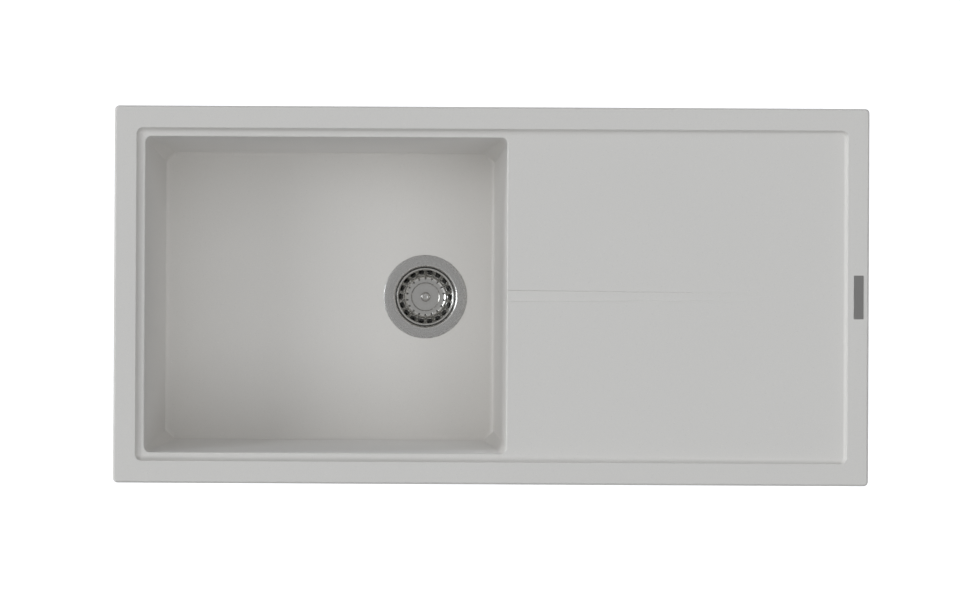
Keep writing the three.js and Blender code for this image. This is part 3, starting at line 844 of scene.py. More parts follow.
def tidy_mesh(mesh: bpy.types.Mesh, crease: float) -> None:
    """Merges doubled points, turns the faces outward and marks the sharp edges.

    Args:
        mesh: The mesh.
        crease: Edges that turn by more degrees than this are sharp.
    """
    work = bmesh.new()
    work.from_mesh(mesh)
    bmesh.ops.remove_doubles(work, verts=work.verts, dist=1e-6)
    bmesh.ops.dissolve_degenerate(work, edges=work.edges, dist=1e-7)
    bmesh.ops.recalc_face_normals(work, faces=work.faces)
    work.to_mesh(mesh)
    work.free()
    mesh.shade_smooth()
    mesh.set_sharp_from_angle(angle=math.radians(crease))


def polar(centre: Flat, radius: float, angle: float) -> Flat:
    """The point in plan at a distance and an angle from a centre."""
    return (centre[0] + radius * math.cos(angle), centre[1] + radius * math.sin(angle))


def circle(centre: Flat, radius: float, z: float, steps: int) -> list[Point]:
    """The points of an upright circle, anticlockwise from +X.

    Args:
        centre: Its centre in plan.
        radius: Its radius.
        z: Its height.
        steps: How many points it has.

    Returns:
        The points.
    """
    return [(*polar(centre, radius, 2 * math.pi * i / steps), z) for i in range(steps)]


def drill(piece: bpy.types.Object, centres: Sequence[Flat], radius: float, low: float, high: float) -> None:
    """Drills upright blind holes into a piece from beneath.

    Args:
        piece: The piece's object.
        centres: The holes' places in plan.
        radius: Their radius.
        low: A height beneath the piece's face.
        high: The height of the holes' ends.
    """
    steps = 32
    bits = Skin()
    for centre in centres:
        foot = bits.ring(circle(centre, radius, low, steps))
        bits.fill(foot[::-1])
        bits.fill(bits.stack([circle(centre, radius, high, steps)], foot))
    cutter = place("drill_bits", bits.mesh("drill_bits"))
    piece.modifiers.clear()
    cut = piece.modifiers.new("drilled", "BOOLEAN")
    cut.object, cut.operation, cut.solver = cutter, "DIFFERENCE", "EXACT"
    bpy.context.view_layer.update()
    evaluated = piece.evaluated_get(bpy.context.evaluated_depsgraph_get())
    drilled = bpy.data.meshes.new_from_object(evaluated)
    piece.modifiers.clear()
    piece.data = drilled
    bpy.data.objects.remove(cutter)
    tidy_mesh(drilled, CREASE_DEGREES)
    piece.modifiers.new("even shading", "WEIGHTED_NORMAL").keep_sharp = True


def dress(
    node: str, look: bpy.types.Material, crease: float = CREASE_DEGREES, bevel_mm: float = 0.0
) -> None:
    """Gives a CAD node its material, smooth curves and, if asked, softened edges.

    Args:
        node: The CAD node.
        look: Its material.
        crease: Edges that turn by more degrees than this stay sharp.
        bevel_mm: The width of the softened edges.
    """
    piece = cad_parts[node]
    mesh = piece.data
    mesh.materials.clear()
    mesh.materials.append(look)
    mesh.polygons.foreach_set("use_smooth", [True] * len(mesh.polygons))
    piece.modifiers.new("joined facets", "WELD").merge_threshold = 1e-5
    if bevel_mm:
        bevel = piece.modifiers.new("soft edges", "BEVEL")
        bevel.width = bevel_mm * MM
        bevel.segments = 2
        bevel.limit_method = "ANGLE"
        bevel.angle_limit = math.radians(40)
    split = piece.modifiers.new("sharp edges", "EDGE_SPLIT")
    split.split_angle = math.radians(crease)
    piece.modifiers.new("even shading", "WEIGHTED_NORMAL")
    LOG.info("dressed %s in %s", node, look.name)


# ---------------------------------------------------------------- the moulding


class RecessEdge(Enum):
    """The curved edges of the recess's sides."""

    BROW = "rounded top edge"
    FOOT = "hollow fillet at the foot"


@dataclass
class Moulding:
    """The one-piece sink: rim, recessed field, bowl, drainboard and the skirt beneath."""

    length: float = 1000.0
    width: float = 500.0
    thickness: float = 8.0
    corner_radius: float = 6.0
    edge_run: float = 2.1
    edge_drop: float = 3.5
    recess_margin: float = 28.5
    recess_end_shift: float = 0.9
    recess_corner_radius: float = 9.5
    recess_depth: float = 5.0
    recess_slope_degrees: float = 57.0
    recess_fillet: float = 4.6
    recess_fillet_growth: float = 1.6
    brow_radius: float = 1.1
    board_fall: float = 2.0
    board_thickness: float = 9.0
    bowl_margin: float = 40.9
    bowl_length: float = 479.4
    bowl_depth: float = 200.0
    bowl_corner_radius: float = 7.5
    bowl_foot_corner_radius: float = 12.5
    bowl_corner_flatness: float = 0.95
    bowl_foot_fillet: float = 9.0
    bowl_foot_crease_degrees: float = 44.0
    bowl_draft_degrees: float = 4.7
    bowl_side_spread: float = 0.012
    bowl_edge_radius: float = 1.8
    bowl_floor_fall: float = 3.0
    bowl_floor_easing: float = 0.35
    wall_thickness: float = 9.0
    floor_thickness: float = 10.0
    shell_foot_fillet: float = 16.5
    shell_collar: float = 2.0
    shell_collar_bend: float = 0.6
    groove_half: float = 6.6
    groove_side: float = 1.4
    groove_end_half: float = 4.5
    groove_depth: float = 1.2
    groove_length: float = 355.0
    drain_from_bowl_end: float = 109.8
    drain_hole_radius: float = 45.0
    drain_seat_radius: float = 56.2
    drain_seat_depth: float = 1.6
    drain_seat_chamfer: float = 0.2
    skirt_inset: float = 14.0
    skirt_thickness: float = 6.0
    skirt_depth: float = 22.0
    skirt_corner_radius: float = 4.0
    dowel_depth: float = 20.0
    dowel_hole_radius: float = 4.3
    seal_from_edge: float = 1.9
    seal_width: float = 6.6
    seal_depth: float = 1.6
    corner_steps: int = 10
    side_steps: int = 14
    floor_rings: int = 8

    @property
    def ledge_z(self) -> float:
        """Height of the ledge round the bowl."""
        return self.thickness - self.recess_depth - self.board_fall

    @property
    def bowl_end_x(self) -> float:
        """Where the bowl's mouth ends and the drainboard begins."""
        return -self.length / 2 + self.bowl_margin + self.bowl_length

    @property
    def fold_x(self) -> float:
        """Where the ledge turns into the drainboard."""
        return self.bowl_end_x + self.bowl_edge_radius

    @property
    def drain(self) -> Flat:
        """The drain's centre in plan."""
        return (self.bowl_end_x - self.drain_from_bowl_end, 0.0)

    @property
    def drain_z(self) -> float:
        """Height of the bowl's floor at the drain."""
        return self.ledge_z - self.bowl_depth

    @property
    def under_z(self) -> float:
        """Height of the drainboard's underside."""
        return self.ledge_z - self.board_thickness

    def fillet(self, depth: float) -> float:
        """Radius of the hollow at the foot of the recess's sides, wider where they are deeper."""
        return self.recess_fillet + self.recess_fillet_growth * (depth - self.recess_depth)

    def recess_run(self, depth: float) -> float:
        """How far in the recess's sides reach.

        Args:
            depth: How deep the recess is there.

        Returns:
            The distance in plan from their top edge to their foot.
        """
        slope = math.radians(self.recess_slope_degrees)
        arcs = (self.brow_radius + self.fillet(depth)) * (1 - math.cos(slope))
        curved = (self.brow_radius + self.fillet(depth)) * math.sin(slope)
        return curved + (depth - arcs) / math.tan(slope)

    def field_z(self, x: float) -> float:
        """Height of the recessed field.

        Args:
            x: The place along X.

        Returns:
            Its height there.
        """
        foot = self.length / 2 - self.recess_margin - self.recess_run(self.recess_depth)
        share = (x - self.fold_x) / (foot - self.fold_x)
        return self.ledge_z + self.board_fall * min(max(share, 0.0), 1.0)

    def rim_point(self, index: int, inset: float, radius: float, fold: float) -> Flat:
        """One point of an outline inside the rim's.

        Args:
            index: Its number, anticlockwise from the foot of the right-hand side.
            inset: How far the outline is inside the rim's.
            radius: The outline's corner radius.
            fold: Where the extra point on each long side lies.

        Returns:
            The point in plan.
        """
        quarter, step = divmod(index, self.corner_steps + 2)
        half_x = self.length / 2 - inset - radius
        half_y = self.width / 2 - inset - radius
        if step > self.corner_steps:
            sides = {0: (fold, half_y + radius), 1: (-half_x - radius, 0.0), 2: (fold, -half_y - radius)}
            return sides.get(quarter, (half_x + radius, 0.0))
        angle = math.pi / 2 * (quarter + step / self.corner_steps)
        sign_x = 1 if quarter in (0, 3) else -1
        sign_y = 1 if quarter < 2 else -1
        return (sign_x * half_x + radius * math.cos(angle), sign_y * half_y + radius * math.sin(angle))

    @property
    def rim_count(self) -> int:
        """How many points each outline of the rim has."""
        return 4 * (self.corner_steps + 2)

    @property
    def back_fold(self) -> int:
        """The number of the fold's point on the back side."""
        return self.corner_steps + 1

    @property
    def front_fold(self) -> int:
        """The number of the fold's point on the front side."""
        return 2 * (self.corner_steps + 2) + self.corner_steps + 1

    def rim_ring(
        self, inset: float, z: float, radius: float | None = None, fold: float | None = None
    ) -> list[Point]:
        """A level outline inside the rim's.

        Args:
            inset: How far it is inside the rim's outline.
            z: Its height.
            radius: Its corner radius, if it isn't the rim's less the inset.
            fold: Where the extra point on each long side lies, if not at the drainboard's start.

        Returns:
            Its points.
        """
        radius = max(self.corner_radius - inset, 1.0) if radius is None else radius
        fold = self.fold_x if fold is None else fold
        flat = [self.rim_point(i, inset, radius, fold) for i in range(self.rim_count)]
        return [(x, y, z) for x, y in flat]

    def recess_ring(self, edge: RecessEdge, share: float) -> list[Point]:
        """One outline of the recess's sides, which reach as deep as the field lies at each place.

        Args:
            edge: The curved edge that it belongs to.
            share: How far along that curve the outline lies, from 0 to 1.

        Returns:
            Its points.
        """
        slope = math.radians(self.recess_slope_degrees)
        points = []
        for i in range(self.rim_count):
            rough = self.rim_point(i, self.recess_margin, self.recess_corner_radius, self.fold_x)
            floor = self.field_z(rough[0])
            if edge is RecessEdge.BROW:
                angle = slope * share
                run = self.brow_radius * math.sin(angle)
                z = self.thickness - self.brow_radius * (1 - math.cos(angle))
            else:
                angle = slope * (1 - share)
                depth = self.thickness - floor
                run = self.recess_run(depth) - self.fillet(depth) * math.sin(angle)
                z = floor + self.fillet(depth) * (1 - math.cos(angle))
            radius = self.recess_corner_radius - run
            x, y = self.rim_point(i, self.recess_margin + run, radius, self.fold_x)
            stretch = max(x - self.fold_x, 0.0) / (self.length / 2 - self.recess_margin - self.fold_x)
            points.append((x + self.recess_end_shift * stretch, y, z))
        return points

    def groove_breaks(self) -> list[float]:
        """Where the groove's lines cross the bowl's right-hand side, from front to back."""
        outer = self.groove_half + self.groove_side
        return [-outer, -self.groove_half, self.groove_half, outer]

    def bowl_corner(self, quarter: int, radius: float, flat: float) -> list[Flat]:
        """One corner of an outline of the bowl, counted from the middle of its arc.

        Args:
            quarter: The corner's number, anticlockwise from the back right-hand one.
            radius: Its radius.
            flat: How flat it is, from 0 for round to 1 for straight across.

        Returns:
            Its points.
        """
        low, high = math.pi / 2 * quarter, math.pi / 2 * (quarter + 1)
        points = []
        for step in range(self.corner_steps + 1):
            share = step / self.corner_steps
            angle = low + (high - low) * share
            point = []
            for way in (math.cos, math.sin):
                across = way(low) * (1 - share) + way(high) * share
                point.append(radius * (way(angle) * (1 - flat) + across * flat))
            points.append(tuple(point))
        return points

    def bowl_ring(
        self, inset: float, radius: float, z: float, groove: bool = False, flat: float = 0.0
    ) -> list[Point]:
        """An outline of the bowl.

        Args:
            inset: How far it is inside the mouth's.
            radius: Its corner radius.
            z: Its height.
            groove: Whether it dips where the groove runs into the bowl.
            flat: How flat its corners are, from 0 for round to 1 for straight across.

        Returns:
            Its points, anticlockwise from the right-hand side's foot.
        """
        half_x = self.bowl_length / 2 - inset
        half_y = self.width / 2 - self.bowl_margin - inset
        middle = self.bowl_end_x - self.bowl_length / 2
        dip = [0.0, self.groove_depth, self.groove_depth, 0.0] if groove else [0.0] * 4
        side = half_y - radius
        breaks = [-side * (1 - i / self.side_steps) for i in range(1, self.side_steps)]
        points = [(middle + half_x, y, z) for y in breaks]
        points += [(middle + half_x, y, z - drop) for y, drop in zip(self.groove_breaks(), dip)]
        points += [(middle + half_x, -y, z) for y in reversed(breaks)]
        for quarter in range(4):
            sign_x = 1 if quarter in (0, 3) else -1
            sign_y = 1 if quarter < 2 else -1
            centre_x, centre_y = middle + sign_x * (half_x - radius), sign_y * (half_y - radius)
            arc = [(centre_x + x, centre_y + y, z) for x, y in self.bowl_corner(quarter, radius, flat)]
            points.extend(arc)
            if quarter < 3:
                points.extend(self.side_points(arc[-1], quarter, half_x - radius, half_y - radius, z))
        return points

    def side_points(self, start: Point, quarter: int, half_x: float, half_y: float, z: float) -> list[Point]:
        """The points inside one straight side of the bowl.

        Args:
            start: The side's first end.
            quarter: The number of the corner before it.
            half_x: Half the straight length along X.
            half_y: Half the straight length along Y.
            z: Their height.

        Returns:
            The points between the side's ends.
        """
        ahead = {0: (-2 * half_x, 0.0), 1: (0.0, -2 * half_y), 2: (2 * half_x, 0.0)}[quarter]
        shares = [i / self.side_steps for i in range(1, self.side_steps)]
        return [(start[0] + ahead[0] * s, start[1] + ahead[1] * s, z) for s in shares]

    def facing(self, ring: Sequence[Point], radius: float, z: float) -> list[Point]:
        """The points of a circle about the drain that face a ring's."""
        cx, cy = self.drain
        return [(*polar(self.drain, radius, math.atan2(y - cy, x - cx)), z) for x, y, _ in ring]

    def wall_rings(
        self, grow: float, foot_z: float, fillet: float, crease_degrees: float, top_z: float
    ) -> list[list[Point]]:
        """The outlines of a drafted bowl wall and the hollow at its foot.

        Args:
            grow: How far outside the bowl's inner face the wall lies.
            foot_z: The height of the floor.
            fillet: The hollow's radius.
            crease_degrees: The hollow's slope where the wall stands on it.
            top_z: The height that the wall reaches.

        Returns:
            The outlines, from the top down.
        """
        crease = math.radians(90 - crease_degrees)
        inner_height = self.bowl_depth - self.bowl_edge_radius - self.bowl_floor_fall
        inset_foot = inner_height * math.tan(math.radians(self.bowl_draft_degrees))
        crease_z = foot_z + fillet * (1 - math.sin(crease))
        widening = self.bowl_foot_corner_radius - self.bowl_corner_radius
        wall_steps, foot_steps = 6, 7
        rings = []
        for step in range(wall_steps + 1):
            share = step / wall_steps
            radius = self.bowl_corner_radius + widening * share
            z = top_z + (crease_z - top_z) * share
            flat = self.bowl_corner_flatness * share**0.5
            rings.append(self.bowl_ring(inset_foot * share - grow, radius + grow, z, flat=flat))
        for step in range(1, foot_steps + 1):
            angle = crease + (math.pi / 2 - crease) * step / foot_steps
            inward = fillet * (math.cos(crease) - math.cos(angle))
            radius = max(self.bowl_foot_corner_radius + grow - inward, 2.0)
            z, flat = foot_z + fillet * (1 - math.sin(angle)), self.bowl_corner_flatness
            rings.append(self.bowl_ring(inset_foot - grow + inward, radius, z, flat=flat))
        spread = self.bowl_side_spread

        def widened(y: float, z: float) -> float:
            """A place along Y, spread the more the deeper it lies."""
            return y * (1 + spread * min((top_z - z) / (top_z - foot_z), 1.0))

        return [[(x, widened(y, z), z) for x, y, z in ring] for ring in rings]

    def add_top(self, skin: Skin) -> tuple[list[int], list[int], list[int]]:
        """Adds the rim, the recess and the bowl's mouth.

        Args:
            skin: The mesh that they go into.

        Returns:
            The rim's lowest outline, the recess's foot and the mouth's outline.
        """
        top, run = self.thickness, self.edge_run
        edge = [
            (0.5, 0.0, 0),
            (0.0, 0.5, 0),
            (0.0, top - self.edge_drop, 0.8),
            (run, top, 1.0),
            (run + 3.0, top, 0),
        ]
        sides = [self.rim_ring(inset, z) for inset, z in rounded_path(edge, 4)]
        sides += [self.recess_ring(RecessEdge.BROW, i / 4) for i in range(5)]
        sides += [self.recess_ring(RecessEdge.FOOT, i / 7) for i in range(8)]
        lowest = skin.ring(sides[0])
        foot = skin.stack(sides[1:], lowest)
        radius = self.bowl_edge_radius
        mouth = self.bowl_ring(-radius, self.bowl_corner_radius + radius, self.ledge_z, groove=True)
        return lowest, foot, skin.ring(mouth)

    def add_field(self, skin: Skin, foot: Sequence[int], mouth: Sequence[int]) -> None:
        """Closes the field between the recess's foot and the bowl's mouth, with the groove in it.

        Args:
            skin: The mesh.
            foot: The recess's foot.
            mouth: The outline of the bowl's mouth.
        """
        right, back, front = self.right_count, self.back_fold, self.front_fold
        skin.fill([*foot[back : front + 1], mouth[-1], *reversed(mouth[right:-1])])
        end_x = self.bowl_end_x + self.groove_length
        ends = skin.ring([(end_x, sign * self.groove_end_half, self.field_z(end_x)) for sign in (1, -1)])
        low_outer, low_inner, high_inner, high_outer = range(self.side_steps - 1, self.side_steps + 3)
        mouth_back = reversed(mouth[high_outer : right + 1])
        mouth_front = reversed(mouth[: low_outer + 1])
        skin.fill([*foot[front:], *foot[: back + 1], *mouth_back, *ends, *mouth_front, mouth[-1]])
        skin.fill([mouth[high_outer], mouth[high_inner], ends[0]])
        skin.fill([mouth[low_inner], mouth[low_outer], ends[1]])
        skin.fill([mouth[high_inner], mouth[low_inner], ends[1], ends[0]])

    @property
    def right_count(self) -> int:
        """How many points lie on the bowl's right-hand side before its back corner starts."""
        return 2 * (self.side_steps - 1) + len(self.groove_breaks())

    def add_bowl(self, skin: Skin, mouth: Sequence[int]) -> list[int]:
        """Adds the inside of the bowl, down through the drain hole.

        Args:
            skin: The mesh.
            mouth: The outline of the bowl's mouth.

        Returns:
            The drain hole's lower outline.
        """
        radius, edge_steps = self.bowl_edge_radius, 5
        rings = []
        for i in range(1, edge_steps + 1):
            angle = math.pi / 2 * (1 - i / edge_steps)
            out, z = radius * (1 - math.cos(angle)), self.ledge_z - radius * (1 - math.sin(angle))
            rings.append(self.bowl_ring(-out, self.bowl_corner_radius + out, z, groove=i < edge_steps))
        floor_z = self.drain_z + self.bowl_floor_fall
        crease = self.bowl_foot_crease_degrees
        walls = self.wall_rings(0.0, floor_z, self.bowl_foot_fillet, crease, self.ledge_z - radius)[1:]
        rings += walls
        outline = walls[-1]
        sump = self.facing(outline, self.drain_seat_radius, self.drain_z)
        for i in range(1, self.floor_rings):
            share = i / self.floor_rings
            eased = share * share * (3 - 2 * share)
            rise = eased * self.bowl_floor_easing + share * (1 - self.bowl_floor_easing)
            rings.append(between(outline, sump, share, rise))
        top, seat_z, chamfer = self.drain_z, self.drain_z - self.drain_seat_depth, self.drain_seat_chamfer
        seat = [
            (self.drain_seat_radius + chamfer, top),
            (self.drain_seat_radius, top - chamfer),
            (self.drain_seat_radius, seat_z),
            (self.drain_hole_radius, seat_z),
            (self.drain_hole_radius, top - self.floor_thickness),
        ]
        rings += [self.facing(outline, reach, z) for reach, z in seat]
        return skin.stack(rings, mouth)

    def add_underside(self, skin: Skin, lowest: Sequence[int], hole: Sequence[int]) -> None:
        """Adds the rim's underside, the skirt, the drainboard's underside and the bowl's shell.

        Args:
            skin: The mesh.
            lowest: The rim's lowest outline.
            hole: The drain hole's lower outline.
        """
        grow = self.wall_thickness
        shell_x = self.bowl_end_x + grow
        seal = (self.seal_from_edge, self.seal_from_edge + self.seal_width)
        outer, inner = self.skirt_inset, self.skirt_inset + self.skirt_thickness
        corner, foot = self.skirt_corner_radius, -self.skirt_depth
        collar, bend = self.shell_collar, self.shell_collar_bend
        groove = [(seal[0], 0.0), (seal[0], self.seal_depth), (seal[1], self.seal_depth), (seal[1], 0.0)]
        skirt = [
            (outer - 1.5, 0.0, corner + 0.5),
            (outer - 0.4, -0.5, corner + 0.2),
            (outer, -1.5, corner),
            (outer, foot + 1.0, corner),
            (outer + 0.3, foot + 0.3, corner),
            (outer + 1.0, foot, corner),
            (inner - 1.0, foot, corner),
            (inner - 0.3, foot + 0.3, corner),
            (inner, foot + 1.0, corner),
            (inner, self.under_z - collar, corner),
            (inner + bend, self.under_z - bend, corner),
            (inner + collar, self.under_z, corner, shell_x + collar),
        ]
        rings = [self.rim_ring(*outline) for outline in (*groove, *skirt)]
        under = skin.stack(rings, lowest)
        underside = self.drain_z - self.floor_thickness
        walls = self.wall_rings(grow, underside, self.shell_foot_fillet, 90.0, self.under_z - collar)
        heads = [
            self.bowl_ring(-grow - out, self.bowl_corner_radius + grow + out, self.under_z - drop)
            for out, drop in ((collar, 0.0), (bend, bend))
        ]
        top = skin.ring(heads[0])
        outline = walls[-1]
        round_hole = self.facing(outline, self.drain_hole_radius, outline[0][2])
        middle = [between(outline, round_hole, share, share) for share in (0.33, 0.66)]
        last = skin.stack([heads[1], *walls, *middle], top)
        skin.bridge(last, hole)
        back, front, right = self.back_fold, self.front_fold, self.right_count
        skin.fill([*under[back : front + 1], top[-1], *reversed(top[right:-1])])
        skin.fill([*under[front:], *under[: back + 1], *reversed(top[: right + 1]), top[-1]])

    def make(self, look: bpy.types.Material) -> None:
        """Builds the moulding, which stands for its CAD node.

        Args:
            look: The composite's material.
        """
        skin = Skin()
        lowest, foot, mouth = self.add_top(skin)
        self.add_field(skin, foot, mouth)
        hole = self.add_bowl(skin, mouth)
        self.add_underside(skin, lowest, hole)
        piece = skin.build("sink_moulding", "sink", look)
        boxes = [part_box(node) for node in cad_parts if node.startswith("dowel_")]
        dowels = [((low.x + high.x) / 2 / MM, (low.y + high.y) / 2 / MM) for low, high in boxes]
        below = self.under_z - 4.0
        drill(piece, dowels, self.dowel_hole_radius, below, self.dowel_depth - self.skirt_depth)
        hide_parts("sink_body")
        LOG.info("sink_moulding: %d faces", len(piece.data.polygons))


# ---------------------------------------------------------------- the waste and its basket


@dataclass
class WasteFitting:
    """The pressed flange and cup, and the moulded body that hangs beneath the bowl."""

    centre: Flat
    flange_top: float
    flange_radius: float = 56.05
    sheet: float = 1.0
    dome_radius: float = 51.0
    mouth_radius: float = 44.4
    cup_radius: float = 41.2
    cup_depth: float = 40.0
    slot_reach: Flat = (9.5, 19.5)
    slots: int = 6
    columns: int = 72
    body_radius: float = 45.0
    body_flange_radius: float = 54.0
    body_wall: float = 2.6
    hub_height: float = 16.0
    spoke_degrees: tuple[float, ...] = (90.0, 210.0, 330.0)
    tail_bore_radius: float = 19.5
    tail_radius: float = 23.0
    tail_flange_radius: float = 28.5
    thread_radius: float = 23.9
    thread_depth: float = 0.9
    thread_pitch: float = 2.3
    thread_turns: float = 6.4
    thread_drop: float = 20.0

    def flange_profile(self) -> list[Flat]:
        """The upper face in section.

        Returns:
            Its radii and heights, from the flange's edge in to the cup's middle.
        """
        top = self.flange_top
        floor = top - self.cup_depth
        bend = self.mouth_radius - self.cup_radius
        corners = [
            (self.flange_radius, top - 1.2, 0),
            (self.flange_radius, top - 0.75, 0.1),
            (self.dome_radius, top, 30),
            (self.cup_radius + 0.2, top, bend),
            (self.cup_radius - 0.6, floor + 9, 5),
            (self.cup_radius - 2.2, floor + 4.8, 2),
            (self.cup_radius - 6.5, floor + 1.6, 3),
            (27.0, floor, 3),
            *((radius, floor, 0) for radius in (21.0, 19.0, 17.0, 14.5, 12.0, 10.0, 8.0, 3.3)),
        ]
        return rounded_path(corners, 5)

    def make_flange(self, look: bpy.types.Material) -> None:
        """Builds the flange and cup as one sheet with curved slots in its floor.

        Args:
            look: The brushed steel's material.
        """
        skin = Skin()
        floor = self.flange_top - self.cup_depth
        profile = self.flange_profile()
        rings = [skin.ring(circle(self.centre, r, z, self.columns)) for r, z in profile]
        pitch = self.columns // self.slots
        near, far = self.slot_reach

        def between_slots(column: int) -> bool:
            """Whether a column of the floor lies on the bridge between two slots."""
            return not 2 <= column % pitch < pitch - 2

        for low, high, (r0, z0), (r1, _) in zip(rings, rings[1:], profile, profile[1:]):
            slotted = max(r0, r1) < far and min(r0, r1) > near and z0 < floor + 0.1
            skin.bridge(low, high, between_slots if slotted else None)
        piece = skin.build("flange_and_cup", "sink", look, crease=60.0)
        thicken(piece, self.sheet)
        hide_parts("waste_flange")
        LOG.info("flange_and_cup: %d faces", len(piece.data.polygons))

    def make_tail(self, look: bpy.types.Material) -> None:
        """Builds the outlet tail: its flange, its spigot and the thread for the trap's nut.

        Args:
            look: The plastic's material.
        """
        low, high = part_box("outlet_tail")
        top, end = high.z / MM, low.z / MM
        bore, radius, flange = self.tail_bore_radius, self.tail_radius, self.tail_flange_radius
        section = [
            (bore, top, 0),
            (bore, end, 0.5),
            (radius, end, 0.8),
            (radius, top - 3, 0.8),
            (flange, top - 3, 0.7),
            (flange, top, 0),
            (bore, top, 0),
        ]
        skin = Skin()
        skin.turn(rounded_path(section)[:-1], self.centre, 96)
        skin.wind(
            self.centre,
            radius=self.thread_radius,
            depth=self.thread_depth,
            pitch=self.thread_pitch,
            foot=top - self.thread_drop,
            turns=self.thread_turns,
        )
        piece = skin.build("threaded_tail", "sink", look)
        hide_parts("outlet_tail")
        LOG.info("threaded_tail: %d faces", len(piece.data.polygons))

    def make_body(self, look: bpy.types.Material) -> None:
        """Builds the chamber and its spoked hub.

        Args:
            look: The plastic's material.
        """
        low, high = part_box("waste_body")
        top, foot = high.z / MM, low.z / MM
        hub_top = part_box("bolt_insert")[1].z / MM + 0.1
        radius, wall = self.body_radius, self.body_wall
        floor = foot + wall
        skin = Skin()
        section = [
            (radius - wall, top, 0),
            (radius - wall, floor + 14, 6),
            (radius - wall - 6, floor + 5, 4),
            (self.tail_bore_radius + 1.5, floor, 2),
            (self.tail_bore_radius, floor - 1.5, 0.5),
            (self.tail_bore_radius, foot, 0),
            (self.tail_flange_radius, foot, 0.5),
            (radius - 5, floor + 3, 4),
            (radius, floor + 12, 5),
            (radius, top - 4, 0.8),
            (self.body_flange_radius, top - 4, 0.8),
            (self.body_flange_radius, top, 0.8),
            (radius - wall, top, 0),
        ]
        skin.turn(rounded_path(section)[:-1], self.centre, 96)
        piece = skin.build("waste_chamber", "sink", look)
        spokes = Skin()
        hub_foot = hub_top - self.hub_height
        hub = [
            (5.3, hub_top, 0),
            (9.5, hub_top, 0.6),
            (9.5, hub_foot, 0.8),
            (3.4, hub_foot, 0.4),
            (3.4, hub_foot + 4, 0),
            (5.3, hub_foot + 4, 0),
            (5.3, hub_top, 0),
        ]
        spokes.turn(rounded_path(hub, 3)[:-1], self.centre, 48)
        for turn in self.spoke_degrees:
            self.add_spoke(spokes, math.radians(turn), hub_foot, hub_top - 3.2, radius - wall + 0.6)
        spokes.build("waste_hub", "sink", look)
        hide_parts("waste_body")
        LOG.info("waste_chamber: %d faces, with waste_hub", len(piece.data.polygons))

    def add_spoke(self, skin: Skin, angle: float, foot: float, top: float, reach: float) -> None:
        """Adds one spoke from the hub to the chamber's wall.

        Args:
            skin: The hub's mesh.
            angle: Its direction.
            foot: Its lower face's height.
            top: Its upper face's height.
            reach: The radius that it runs out to.
        """
        half_width, from_middle = 2.0, 8.5
        ahead = Vector((math.cos(angle), math.sin(angle)))
        aside = Vector((-math.sin(angle), math.cos(angle))) * half_width
        start = Vector(self.centre) + ahead * from_middle
        end = Vector(self.centre) + ahead * reach
        outline = [start - aside, end - aside, end + aside, start + aside]
        last = skin.stack([[(*p, foot) for p in outline], [(*p, top) for p in outline]])
        skin.fill(last)
        skin.fill([i - 4 for i in reversed(last)])


def thicken(piece: bpy.types.Object, sheet: float) -> None:
    """Gives an open sheet its thickness, behind its faces, and rounds it by subdivision.

    Args:
        piece: The sheet's object.
        sheet: Its thickness.
    """
    piece.modifiers.clear()
    solidify = piece.modifiers.new("sheet thickness", "SOLIDIFY")
    solidify.thickness = sheet * MM
    solidify.offset = -1.0
    subdivide = piece.modifiers.new("rounding", "SUBSURF")
    subdivide.levels = subdivide.render_levels = 1


